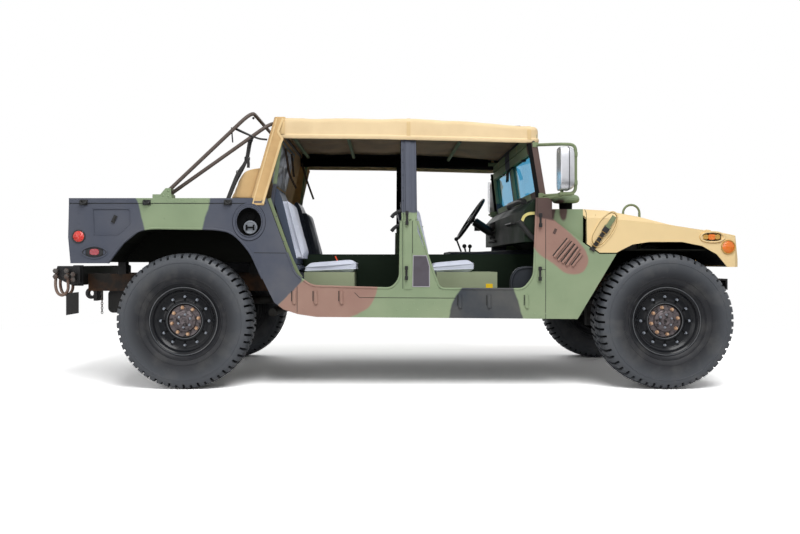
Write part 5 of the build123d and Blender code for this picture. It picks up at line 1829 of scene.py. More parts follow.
def dome(
    radius: float, height: float, centre: Point, side: int, edge: float = 4.0, segments: int = 40
) -> Surface:
    """Lens that stands out along y: a short wall, then a crown that falls off as the square of the radius.

    Args:
        radius: Radius of the lens.
        height: Rise of its crown.
        centre: Middle of its foot.
        side: 1 to stand out to the left, -1 to the right.
        edge: Height of its wall.
        segments: Steps round it.

    Returns:
        The lens, open at its hidden foot.
    """
    share = np.linspace(1, 0, 9)
    rows = [(-6.0, radius), (edge, radius)] + [(edge + height * (1 - s * s), radius * s) for s in share[1:]]
    return revolved(rows, segments, centre, side)


def studs(places: Points, side: int, radius: float = 6.0, height: float = 3.5) -> Surface:
    """Round-headed rivets standing out along y at each place.

    Args:
        places: Where each rivet goes.
        side: 1 to stand out to the left, -1 to the right.
        radius: Radius of a head.
        height: Rise of a head.

    Returns:
        All the heads.
    """
    share = np.linspace(1, 0, 4)
    head = revolved([(height * (1 - s * s), radius * s) for s in share], 10, side=side)
    return repeated(head, np.asarray(places, float))


def tube(
    corners: Points, radius: float, reach: float = 40.0, up: Point = (0, 1, 0), sides: int = 14
) -> Surface:
    """Round tube along a polyline with rounded corners."""
    return swept(rounded_path(corners, reach, 7), circle(radius, sides), up)


def ribbon(
    corners: Points, width: float, thick: float = 2.4, reach: float = 30.0, up: Point = (0, 1, 0)
) -> Surface:
    """Flat strap along a polyline with rounded corners."""
    return swept(rounded_path(corners, reach, 6), rectangle(width, thick), up)


def facing_x(surface: Surface, centre: Point, way: int = 1) -> Surface:
    """Turn a surface that stands out along +y so that it stands out along x, and set it at a centre.

    Args:
        surface: Surface drawn round the origin.
        centre: Where its origin goes.
        way: 1 to face forward, -1 to face back.

    Returns:
        The turned surface.
    """
    x, y, z = surface.points.T
    turned = rows_of(way * y, -way * x, z) + np.asarray(centre, float)
    return Surface(turned, surface.faces, surface.parts)


@dataclass
class Mirrors(Assembly):
    """Mirror heads in bent tube frames at the windshield's corners."""

    head_y: float = 1150.0
    head_x: tuple[float, float] = (2539.0, 2634.0)
    head_z: tuple[float, float] = (1349.0, 1639.0)
    head_half: float = 73.0
    tube_radius: float = 11.0
    swung_back: float = 165.0

    def frame(self) -> Surface:
        """Tube from the top of the pillar round the head and back to its foot, with two clamps.

        Returns:
            The right frame.
        """
        y = -self.head_y
        path = [
            (2420, -930, 1686), (2560, y, 1660), (2652, y, 1656), (2652, y, 1334), (2570, y, 1322),
            (2447, -985, 1326)
        ]
        whole = tube(path, self.tube_radius, 42)
        lower = tube([(2560, y, 1352), (2560, y, 1316), (2446, -1010, 1300)], self.tube_radius, 20)
        clamps = [box((2642, y - 15, z - 15), (2663, y + 15, z + 15)) for z in (1400, 1590)]
        foot = box((2540, y - 40, 1318), (2634, y + 40, 1336))
        pads = [box((2400, -958, 1668), (2436, -905, 1702)), box((2430, -1016, 1296), (2466, -962, 1344))]
        return merged(whole, lower, foot, *clamps, *pads)

    def outline(self, x: float, shrink: float, count: int = 40) -> np.ndarray:
        """Squared oval round the head at x, drawn in by the shrink.

        Args:
            x: Place of the oval.
            shrink: How far it is drawn in.
            count: Number of points.

        Returns:
            Its points.
        """
        z0, z1 = self.head_z
        ring = oval(self.head_half - shrink, (z1 - z0) / 2 - shrink, count, 5.0)
        return rows_of(x, ring[:, 0] - self.head_y, ring[:, 1] + (z0 + z1) / 2)

    def head(self) -> Surface:
        """Shell with rounded corners, deeper in the middle, that tapers towards its front.

        Returns:
            The right shell.
        """
        x0, x1 = self.head_x
        profile = (
            (x0 + 3, 7.0), (x0, 3.0), (x0 + 4, 0.0), (x0 + 52, 1.0), (x0 + 76, 6.0), (x1 - 4, 17.0), (x1, 26.0)
        )
        rows = [self.outline(x, shrink) for x, shrink in profile]
        n = len(rows[0])
        faces = [grid_faces(len(rows), n, wrap_columns=True), np.arange(n)[None] + (len(rows) - 1) * n]
        return Surface(np.concatenate(rows), faces, [0, 0])

    def glass(self) -> Surface:
        """Mirror plate, a flat oval just inside the shell's rear edge.

        Returns:
            The right plate.
        """
        rows = [self.outline(self.head_x[0] + inset, 8) for inset in (2, 6)]
        n = len(rows[0])
        faces = [grid_faces(2, n, wrap_columns=True), np.arange(n)[None], np.arange(n)[None] + n]
        return Surface(np.concatenate(rows), faces, [0, 0, 0])

    def seam(self) -> Surface:
        """Dark gasket round the shell where its two halves meet."""
        return swept(self.outline(self.head_x[0] + 56.0, 0.5, 48), rectangle(4, 4), up=(1, 0, 0), closed=True)

    def build(self) -> None:
        """Make both mirrors."""
        shell = merged(self.head().painted(0), self.glass().painted(1), self.seam().painted(2))
        finishes = [MIRROR_SHELL, SILVER_GLASS, BLACK_PLASTIC]
        frame = self.frame()
        bent = Surface(frame.points.copy(), frame.faces, frame.parts)
        out = np.clip((-bent.points[:, 1] - 950) / (self.head_y - 950), 0, 1)
        bent.points[:, 0] -= self.swung_back * out
        other = shell.mirrored().moved((-self.swung_back, 0, 0))
        self.add("mirror_heads", merged(shell, other), finishes, "ring_steel", replaces=["mirrors"], sharp=50)
        self.add(
            "mirror_frames", merged(frame, bent.mirrored()), [GREEN_ENAMEL], "camo_paint", bevel=1.5,
            replaces=["mirrors"]
        )


@dataclass
class SpringUnits(Assembly):
    """Coil springs round their dampers, on the lower arms."""

    spring_y: float = 560.0
    shelf: float = 742.0
    coil_radius: float = 41.0
    wire: float = 7.5
    turns: float = 6.5

    def unit(self, x: float, seat: float) -> Surface:
        """Damper, cups, shelf and a helix: height in step with the angle, radius kept.

        Args:
            x: Place of the spring.
            seat: Height of its seat on the lower arm.

        Returns:
            The right unit, its damper as part 0 and its coil as part 1.
        """
        low, high = seat + 20, self.shelf - 20
        angle = np.linspace(0, 2 * np.pi * self.turns, int(self.turns * 26))
        rise = np.linspace(low + 10, high - 10, len(angle))
        path = rows_of(
            x + self.coil_radius * np.cos(angle), -self.spring_y + self.coil_radius * np.sin(angle), rise
        )
        coil = swept(path, circle(self.wire, 8))
        body = np.array(
            [
                (seat + 0.5, 0), (seat + 0.5, 24), (low, 24), (low, 48), (low + 8, 48), (low + 8, 27),
                (seat + 190, 27), (seat + 192, 15), (high - 8, 15), (high - 8, 48), (high, 48), (high, 24),
                (self.shelf, 24), (self.shelf, 0)
            ]
        )
        damper = upright(revolved(body[::-1], 28), x, -self.spring_y)
        shelf = box((x - 50, -self.spring_y - 52, self.shelf), (x + 50, -430, self.shelf + 12))
        return merged(coil.painted(1), damper.painted(0), shelf.painted(0))

    def build(self) -> None:
        """Make the four units."""
        rear, front = self.unit(-130.0, 374.0), self.unit(FRONT_AXLE + 130.0, 368.5)
        self.add(
            "coil_springs", merged(rear, front, rear.mirrored(), front.mirrored()),
            [CHASSIS_ENAMEL, SPRING_STEEL], "chassis_paint", replaces=["spring_units"]
        )


@dataclass
class HoodTrim(Assembly):
    """Lamps, latches, liners and knobs that move with the hood."""

    body: str = "hood"
    lamp_y: float = 660.0
    lamp_z: float = 960.0
    lamp_radius: float = 92.0
    face_x: float = 3770.0
    marker: tuple[float, float] = (3705.0, 973.0)
    turn: tuple[float, float] = (3598.0, 1041.0)
    pocket: tuple[tuple[float, float], ...] = (
        (2778, 985), (2772, 1040), (2838, 1160), (2912, 1219), (2955, 1200), (2957, 1140), (2920, 1062),
        (2842, 972)
    )
    arch: tuple[tuple[float, float], ...] = (
        (3690, 846), (3677, 873), (3631, 932), (3530, 990), (3395, 1016), (3171, 1016), (3058, 999),
        (2990, 965), (2945, 944), (2833, 944), (2758, 985)
    )

    def headlamps(self) -> Surface:
        """Drum, reflector bowl, ring with three screws and a domed lens, facing forward.

        Returns:
            Both lamps: drum and ring, lens, and bright parts.
        """
        radius = self.lamp_radius
        drum = revolved([(-68.0, 0), (-68, radius * 0.6), (-40, radius - 1), (-2, radius - 1)], 48)
        ring = revolved(
            rounded_path(
                [
                    (-3, radius - 12), (-3, radius - 0.5), (4, radius + 7), (10, radius + 5), (10, radius - 8),
                    (2, radius - 12)
                ],
                2, 3, closed=True
            ),
            48
        )
        share = np.linspace(1, 0, 12)
        lens = revolved([(2 + 9 * (1 - s * s), (radius - 10) * s) for s in share], 48)
        bowl = revolved([(-44 + 44 * s * s, (radius - 11) * s) for s in share], 48)
        screws = ring_of(bolt(7, 4), 3, radius - 2, 9, 0.5)
        whole = merged(drum.painted(0), ring.painted(0), bowl.painted(2), lens.painted(1), screws.painted(2))
        return merged(*[facing_x(whole, (self.face_x, side * self.lamp_y, self.lamp_z)) for side in (-1, 1)])

    def side_lamps(self) -> Surface:
        """Round amber marker in a rubber ring, and the amber turn lamp between two reflectors.

        Returns:
            The right lamps, in the parts that build names finishes for.
        """
        x, z = self.marker
        marker = dome(41.5, 9, (x, 0, z), -1).moved((0, -HOOD_WALL, 0)).painted(0)
        ring = hoop(oval(45, 45), (x, -HOOD_WALL - 3, z), 7, 9).painted(4)
        x, z = self.turn
        lens = prism(oval(23, 19, 24, 4.0) + (x - 4, z), -HOOD_WALL - 3, -HOOD_WALL + 14).painted(0)
        ends = [
            prism(oval(17, 17, 16, 3.0) + (x + shift, z), -HOOD_WALL - 1, -HOOD_WALL + 14).painted(4)
            for shift in (-44, 36)
        ]
        brow = hoop(oval(80, 34, 44, 2.2), (x, -HOOD_WALL - 3, z), 9, 11).painted(3)
        # Painted shade: a thin gold ring round the brow, set a little lower.
        shade = hoop(oval(86, 40, 44, 2.2), (x, -HOOD_WALL, z - 2), 3, 3).painted(4)
        return merged(marker, ring, lens, *ends, brow, shade)

    def latch(self) -> Surface:
        """Ribbed rubber strap with its buckle and painted pull, lying in a raised rim.

        Returns:
            The right latch: rubber, painted pull, rim, and darker tan edges as painted shade.
        """
        start, end = np.array((2785.0, 962.0)), np.array((2938.0, 1190.0))
        along = (end - start) / np.linalg.norm(end - start)
        face = -HOOD_WALL

        def on_line(distance: float, out: float) -> tuple[float, float, float]:
            """Point on the strap's line, at a distance from its start and out from the side."""
            x, z = start + along * distance
            return (x, face - out, z)

        strap = ribbon([on_line(-14, 5), on_line(60, 9), on_line(150, 11), on_line(205, 9)], 24, 7).painted(0)
        ribs = [ribbon([on_line(d, 12), on_line(d + 8, 12)], 31, 6).painted(0) for d in np.arange(10, 132, 16)]
        pull = ribbon([on_line(178, 13), on_line(225, 15), on_line(262, 10)], 30, 10).painted(1)
        bar = ribbon([on_line(134, 15), on_line(176, 17)], 40, 12).painted(0)
        bridge = ribbon([on_line(170, 19), on_line(180, 19)], 46, 9).painted(1)
        hook = ribbon([on_line(-16, 8), on_line(2, 10)], 36, 12).painted(0)
        slides = merged(
            *[ribbon([on_line(d, 19), on_line(d + 5, 19)], 36, 5) for d in (16, 52, 88, 128)]
        ).painted(3)
        edge = rounded_path(self.pocket, 34, 6, closed=True)
        rim = hoop(edge, (0, face - 2.0, 0), 8, 8).painted(2)
        # Painted shade: a ring of darker tan just inside the rim.
        inside = (edge - edge.mean(axis=0)) * 0.93 + edge.mean(axis=0)
        shade = hoop(inside, (0, face - 0.6, 0), 6, 2.4).painted(3)
        return merged(strap, *ribs, pull, bar, bridge, hook, rim, shade, slides)

    def liners(self) -> Surface:
        """Wheel arch liners: the arch's outline carried inboard, with an inner wall up to the skin.

        Returns:
            The right liner.
        """
        line = np.asarray(self.arch, float)
        outer = [
            rows_of(line[:, 0], y, line[:, 1] + lift)
            for y, lift in ((-1063, 0), (-1000, 4), (-700, 6), (-600, 6))
        ]
        wall = outer[-1].copy()
        wall[:, 2] = np.interp(wall[:, 0], (2758, 2945, 3171, 3407, 3690), (1230, 1222, 1170, 1098, 1060))
        rows = np.concatenate([*outer, wall])
        return Surface(rows, [grid_faces(5, len(line))])

    def knobs(self) -> Surface:
        """Screws beside the markers and two low lugs on the nose.

        Returns:
            Those on the right.
        """
        dots = studs(
            [
                (3705, -HOOD_WALL, 1030), (3705, -HOOD_WALL, 915), (3560, -HOOD_WALL, 1003),
                (2805, -HOOD_WALL, 1190)
            ],
            -1, 5, 2.5
        )
        lug = prism([(3676, 1096), (3682, 1104), (3712, 1100), (3722, 1074), (3690, 1080)], -770, -738)
        return merged(dots, lug)

    def build(self) -> None:
        """Make everything that rides on the hood."""
        self.add(
            "headlamps", self.headlamps(), [BLACK_PLASTIC, HEADLAMP, MIRROR_SHELL], "lamp_lens",
            replaces=["hood_lamps"], sharp=40
        )
        finishes = [AMBER, BLACK_RUBBER, MIRROR_SHELL, TAN_ENAMEL, GILT_RIM_AND_SHADE]
        self.add(
            "turn_lamps", self.side_lamps().both_sides(), finishes, "lamp_lens", bevel=1.2,
            replaces=["hood_lamps"]
        )
        self.add(
            "hood_straps", self.latch().both_sides(), [BLACK_RUBBER, GREEN_ENAMEL, TAN_ENAMEL, TAN_SHADE],
            "latch_rubber", bevel=1.2, replaces=["hood_latches"]
        )
        shell = self.add("arch_liners", self.liners().both_sides(), [BLACK_LINER_AND_SHADE], "dark_paint")
        add_modifier(shell, "SOLIDIFY", thickness=0.002, offset=0.0)
        self.add("hood_knobs", self.knobs().both_sides(), [TAN_ENAMEL], "hood_paint", bevel=1.0)


@dataclass
class SideTrim(Assembly):
    """What stands proud of the body sides: rails, seams, ribs, hinges, louvers, lamps and the filler."""

    bed: tuple[float, float] = (-766.0, 571.0)  # rear and front end of the bed side
    rail_low: float = 1271.0
    rail_high: float = 1304.0
    cleats: tuple[float, ...] = (-665.0, -238.0, 312.0)
    marker: tuple[float, float] = (-699.0, 1044.0)
    lamp: tuple[float, float] = (-594.0, 937.0)
    filler_place: tuple[float, float] = (455.0, 1144.0)
    post_foot: tuple[float, float] = (1074.0, 1151.0)  # y and z of the leaning post's outer face
    post_head: tuple[float, float] = (907.0, 1768.0)
    recess: tuple[tuple[float, float], ...] = (
        (-607, 1233), (-350, 1233), (-350, 1129), (-434, 1054), (-597, 1054)
    )

    def rail(self) -> Surface:
        """Folded rail along the top of the bed side, with its rivets.

        Returns:
            The right rail.
        """
        (x0, x1), z0, z1 = self.bed, self.rail_low, self.rail_high
        lip = prism([(x0, z0), (x1, z0), (x1 - 5, z1), (x0, z1)], -WALL - 3.5, -WALL + 1)
        places = [(x, -WALL - 3.5, z0 + 17) for x in np.linspace(x0 + 26, x1 - 26, 15)]
        return merged(lip, studs(places, -1, 5, 2.5))

    def panel_rivets(self) -> Surface:
        """Rivets in rows on the sill, the pillar feet and the cowl side.

        Returns:
            The rivets of the right side.
        """
        rows = [(x, 590) for x in np.arange(1500, 1780, 70)] + [(x, 545) for x in np.arange(1460, 1800, 68)]
        rows += [(x, 520) for x in np.arange(2390, 2700, 75)] + [(2490, z) for z in np.arange(560, 1100, 110)]
        rows += [(1632, 1110), (1512, 1120), (2530, 1010), (2560, 960), (2700, 900), (690, 1010), (640, 1180)]
        rows += [
            (-120, 1165), (-330, 1200), (-700, 1200), (-700, 1130), (820, 560), (1000, 520), (1250, 520),
            (1405, 640)
        ]
        return studs(on_wall(rows), -1, 4.5, 2.2)

    def seams(self) -> Surface:
        """Dark joint lines between the panels.

        Returns:
            The lines of the right side.
        """
        lines = (
            [(488, 934), (705, 931)], [(2466, 1160), (2466, 486)], [(2418, 820), (2466, 820)],
            [(1170, 664), (1203, 630), (1860, 626)], [(781, 704), (781, 528)], [(-766, 1268), (570, 1268)],
            [(1497, 1151), (1497, 690)], [(1564, 1151), (1564, 930)], [(1600, 1150), (1600, 1130)],
            [(2730, 1228), (2741, 1205), (2743, 998)]
        )
        strips = [ribbon(on_wall(line, 0.4), 3.2, 1.6, 6) for line in lines]
        return merged(*strips)

    def lips(self) -> Surface:
        """Rolled edges round both door openings and the rear arch.

        Returns:
            The edges of the right side.
        """
        front = [(1598, 1150), (1667, 910), (1721, 762), (1746, 689), (2320, 686), (2387, 774), (2407, 1306)]
        rear = [(712, 934), (768, 786), (880, 708), (1424, 691), (1479, 760), (1484, 1150)]
        arch = [
            (-506, 864), (-474, 910), (-403, 1001), (-299, 1085), (-214, 1101), (225, 1095), (321, 1078),
            (385, 1030), (465, 934), (545, 758)
        ]
        return merged(*[tube(on_wall(line, -3), 8, 40, sides=10) for line in (front, rear, arch)])

    def ribs(self) -> Surface:
        """Pressed stiffening ribs in the sill: a half-round bar with a round end.

        Returns:
            The right ribs, each with a dark strip of painted shade along its rear flank as part 1.
        """
        bars = []
        for x, low, high in (
            (761, 579, 674), (906, 579, 674), (1081, 579, 674), (1886, 552, 647), (2083, 552, 647),
            (2338, 552, 647)
        ):
            bars.append(tube([(x, -WALL + 2, high), (x, -WALL + 2, low + 12)], 14, 10, sides=14).painted(0))
            # Painted shade: a dark strip along the rear flank.
            bars.append(box((x - 20, -WALL - 3, low + 26), (x - 15, -WALL + 1, high)).painted(1))
            bars.append(dome(14, 12, (x + 2, -WALL, low + 12), -1, 1.0, 18).painted(0))
        return merged(*bars)

    def hinges(self) -> Surface:
        """Lift-off hinges: a plate, two knuckles and a pin, on the post and on the windshield pillar.

        Returns:
            The right hinges, their knuckles as part 1.
        """
        parts = []
        for x, z in ((1524, 1169), (1520, 796), (2428, 1154), (2425, 792)):
            parts.append(box((x - 17, -WALL - 5, z - 52), (x + 13, -WALL + 1, z + 52)))
            knuckles = [
                box((x - 9, -WALL - 22, z + shift - 13), (x + 12, -WALL - 4, z + shift + 13))
                for shift in (-34, 34)
            ]
            knuckles.append(tube([(x + 2, -WALL - 12, z - 48), (x + 2, -WALL - 12, z + 48)], 7, 5, sides=10))
            parts.append(merged(*knuckles).painted(1))
        strip = box((1506, -WALL - 4, 684), (1558, -WALL + 1, 1150))
        return merged(*parts, strip)

    def louvers(self) -> Surface:
        """Five slanting hooded vents in the cowl side, each a long half-round hood over a dark strip that
        stands for its slot as painted shade.

        Returns:
            The right vents, their dark strips as part 1.
        """
        hoods = []
        ends = (
            (2518, 909, 2616, 1029), (2545, 886, 2646, 1008), (2574, 868, 2668, 988), (2603, 850, 2688, 968),
            (2642, 846, 2704, 926)
        )
        for x0, z0, x1, z1 in ends:
            hoods.append(
                tube([(x0 + 6, -WALL - 1, z0 - 5), (x1 + 6, -WALL - 1, z1 - 5)], 10, 10, sides=12).painted(0)
            )
            # Painted shade: a dark strip for the slot under the hood.
            hoods.append(ribbon([(x0 - 4, -WALL - 1, z0 + 4), (x1 - 4, -WALL - 1, z1 + 4)], 7, 4).painted(1))
        return merged(*hoods)

    def recess_panel(self) -> Surface:
        """Rounded rim round the recessed panel, with the slanting latch plate in it.

        Returns:
            The right rim, with the latch as part 1.
        """
        rim = hoop(rounded_path(self.recess, 22, 5, closed=True), (0, -WALL, 0), 7, 4).painted(0)
        plate = ribbon([(-470, -WALL - 1, 1138), (-448, -WALL - 1, 1186)], 24, 6).painted(1)
        knob = ribbon([(-466, -WALL - 6, 1148), (-452, -WALL - 6, 1178)], 10, 8).painted(1)
        return merged(rim, plate, knob)

    def cleat_loops(self) -> Surface:
        """Tie-down loops on the rail: a plate and a bent rod.

        Returns:
            The right loops.
        """
        loops = []
        for x in self.cleats:
            loops.append(box((x - 27, -WALL - 7, 1256), (x + 27, -WALL - 3, 1292)))
            loop = [
                (x - 20, -WALL - 6, 1286), (x - 20, -WALL - 24, 1280), (x - 4, -WALL - 26, 1262),
                (x + 20, -WALL - 24, 1268), (x + 22, -WALL - 6, 1286)
            ]
            loops.append(tube(loop, 5.5, 12, up=(0.2, 0.1, 1), sides=8))
        return merged(*loops)

    def rear_lamps(self) -> Surface:
        """Round red marker and, in an eye-shaped bezel, the small red lamp.

        Returns:
            The right lamps: marker, rubber, bezel and lens.
        """
        x, z = self.marker
        marker = dome(38, 13, (x, -WALL, z), -1, 6).painted(0)
        ring = hoop(oval(41, 41), (x, -WALL - 3, z), 8, 9).painted(1)
        x, z = self.lamp
        bezel = hoop(oval(88, 42, 48, 1.7), (x, -WALL - 1, z), 9, 7).painted(2)
        line = hoop(oval(80, 35, 48, 1.8), (x, -WALL - 1, z), 6, 4).painted(1)
        back = prism(oval(58, 28, 24, 3.0) + (x, z), -WALL + 1, -WALL + 7).painted(1)
        lens = prism(oval(32, 21, 20, 3.0) + (x, z + 2), -WALL - 2, -WALL + 2).painted(3)
        return merged(marker, ring, bezel, line, back, lens)

    def filler(self) -> Surface:
        """Oval bezel and dark cup with the cap low in it; the round profiles are narrowed in x.

        Returns:
            The filler: bezel, cup and cap.
        """
        x, z = self.filler_place
        bezel = revolved(
            rounded_path([(0.2, 128), (5, 127), (6, 121), (3, 116), (3, 106), (6, 102), (4, 96)], 2, 3), 64,
            side=-1
        )
        cup = revolved([(4.0, 96), (-8, 93), (-36, 88), (-42, 80), (-42, 0)], 48, side=-1)
        lines = [hoop(oval(r, r, 64), (0, -shift, 0), 3, 2) for r, shift in ((128.5, 0.8), (105, 3.2))]
        narrow = merged(bezel.painted(0), cup.painted(1), *[line.painted(1) for line in lines])
        narrow = Surface(narrow.points * (0.87, 1, 1), narrow.faces, narrow.parts).moved((x, -WALL, z))
        cap = revolved(
            rounded_path([(-42, 47), (-18, 47), (-13, 43), (-13, 38), (-17, 35), (-17, 0)], 2.5, 3), 40,
            (x + 5, -WALL, z - 38), -1
        )
        grip = merged(
            *[
                box((x + a, -WALL + 5, z + b), (x + c, -WALL + 18, z + d))
                for a, b, c, d in ((-18, -43, 28, -33), (-24, -56, -14, -20), (24, -56, 34, -20))
            ]
        )
        spout = revolved(
            [(-41.0, 30), (-30, 30), (-30, 24), (-40, 22), (-40, 0)], 28, (x + 6, -WALL, z + 40), -1
        )
        return merged(narrow, cap.painted(2), grip.painted(1), spout.painted(1))

    def plates(self) -> Surface:
        """Blank data plate with a pale border, the small plate over the louvers and the tag by the seat.

        Returns:
            The plates: border, face, small plate and tag.
        """
        plate = [(1566, 917), (1660, 917), (1681, 843), (1681, 701), (1562, 701)]
        inner = [(1571, 911), (1656, 911), (1675, 842), (1675, 707), (1568, 707)]
        border = prism(plate, -WALL - 2, -WALL + 1).painted(0)
        face = prism(inner, -WALL - 3, -WALL - 1).painted(1)
        small = prism([(2513, 1066), (2528, 1100), (2545, 1092), (2530, 1058)], -WALL - 2, -WALL + 1).painted(2)
        tag = box((2086, -883, 683), (2134, -879.5, 718)).painted(3)
        return merged(border, face, small, tag)

    def jamb(self) -> Surface:
        """Green flange inside the rear door opening, along the quarter panel, and its dark seal.

        Returns:
            The right flange, with its seal as part 1.
        """
        line = [(586, 1304), (732, 905), (783, 796), (806, 762)]
        flange = ribbon([(x, -1052, z) for x, z in line], 24, 12, 40).painted(0)
        seal = tube([(x - 15, -1068, z) for x, z in line], 6, 40, sides=8).painted(1)
        return merged(flange, seal)

    def post_face(self, z: float, out: float) -> float:
        """Place in y of the leaning post's outer face at a height, moved out.

        Args:
            z: Height.
            out: Distance out from the face.

        Returns:
            The place.
        """
        (y0, z0), (y1, z1) = self.post_foot, self.post_head
        return -y0 + (z - z0) / (z1 - z0) * (y0 - y1) - out

    def post(self) -> Surface:
        """Channel strips on the leaning door post, and its screws.

        Returns:
            The right strips, with the screws as part 1.
        """
        at = self.post_face
        strips = []
        for x, width in ((1494, 8), (1509, 6), (1552, 10), (1588, 8)):
            strips.append(ribbon([(x, at(1158, 3), 1158), (x, at(1750, 3), 1750)], width, 8).painted(0))
        strips.append(ribbon([(1532, at(1158, 5), 1158), (1532, at(1745, 5), 1745)], 30, 6).painted(0))
        dots = studs([(1500, at(z, 6), z) for z in np.arange(1200, 1740, 90)], -1, 4, 2).painted(1)
        return merged(*strips, dots)

    def seals_and_shade_strips(self) -> Surface:
        """Black strips inside the door post and along the roof rail as painted shade, and rubber sealing strips
        round the front door's opening.

        Returns:
            The right strips.
        """
        # Painted shade: black strips inside the post and along the roof rail.
        post = ribbon([(1541, -1044, 1158), (1541, -866, 1764)], 110, 4)
        rail = box((600, -875, 1752), (2330, -871, 1830))
        edge = ribbon([(2378, -952, 1692), (2426, -1013, 1316)], 28, 6)
        down = ribbon([(2406, -1066, 1300), (2404, -1066, 1100), (2396, -1066, 790)], 18, 10)
        return merged(post, rail, edge, down)

    def hooks(self) -> Surface:
        """Two hooks that hold the rear door's latch, on the rear edge of the right post.

        Returns:
            Both hooks.
        """
        parts = []
        for z in (1198, 1104):
            arm = [(1490, -1058, z + 20), (1462, -1058, z + 14), (1434, -1058, z - 6), (1420, -1058, z - 24)]
            parts.append(tube(arm, 12, 12, sides=10))
            parts.append(box((1420, -1070, z - 26), (1440, -1046, z - 4)))
        return merged(*parts)

    def build(self) -> None:
        """Make the trim of the right side, and its mirror image for what the left side shares."""
        shared = (
            ("bed_rails", self.rail(), [CAMOUFLAGE], "camo_paint", 1.0, ()),
            ("panel_rivets", self.panel_rivets(), [CAMOUFLAGE], "camo_paint", 0.0, ()),
            ("panel_seams", self.seams(), [SEAM_DARK], "dark_paint", 0.0, ()),
            ("rolled_lips", self.lips(), [CAMOUFLAGE], "camo_paint", 0.0, ()),
            ("sill_ribs", self.ribs(), [CAMOUFLAGE, SEAM_DARK], "camo_paint", 0.0, ()),
            ("door_hinges", self.hinges(), [CAMOUFLAGE, BLACK_PLASTIC], "camo_paint", 1.2, ()),
            ("cowl_louvers", self.louvers(), [CAMOUFLAGE, SEAM_DARK], "camo_paint", 0.0, ()),
            ("recess_rims", self.recess_panel(), [CAMOUFLAGE, BLACK_PLASTIC], "camo_paint", 1.0, ()),
            ("tie_down_loops", self.cleat_loops(), [BLACK_PLASTIC], "black_plastic", 1.0, ()),
            (
                "rear_side_lamps", self.rear_lamps(), [RED, BLACK_RUBBER, CAMOUFLAGE, DARK_RED], "lamp_lens",
                1.2, ("side_lamps",)
            ),
            ("door_jambs", self.jamb(), [GREEN_ENAMEL, BLACK_RUBBER], "camo_paint", 1.0, ()),
            ("post_channels", self.post(), [CAMOUFLAGE, BLACK_PLASTIC], "camo_paint", 1.0, ()),
            ("inner_seals", self.seals_and_shade_strips(), [BLACK_LINER_AND_SHADE], "latch_rubber", 0.0, ())
        )
        self.add("post_hooks", self.hooks(), [BLACK_PLASTIC], "black_plastic", bevel=1.0)
        for name, shape, finishes, slot, bevel, nodes in shared:
            self.add(name, shape.both_sides(), finishes, slot, bevel=bevel, replaces=nodes)
        self.add(
            "filler_cup", self.filler(), [CAMOUFLAGE, BLACK_LINER_AND_SHADE, FILLER_CAP], "camo_paint", bevel=1.0,
            replaces=["fuel_filler"]
        )
        self.add(
            "side_plates", self.plates(), [PLATE_BORDER, DATA_PLATE, UMBER_ENAMEL, YELLOW_TAG], "ring_steel",
            bevel=0.5
        )


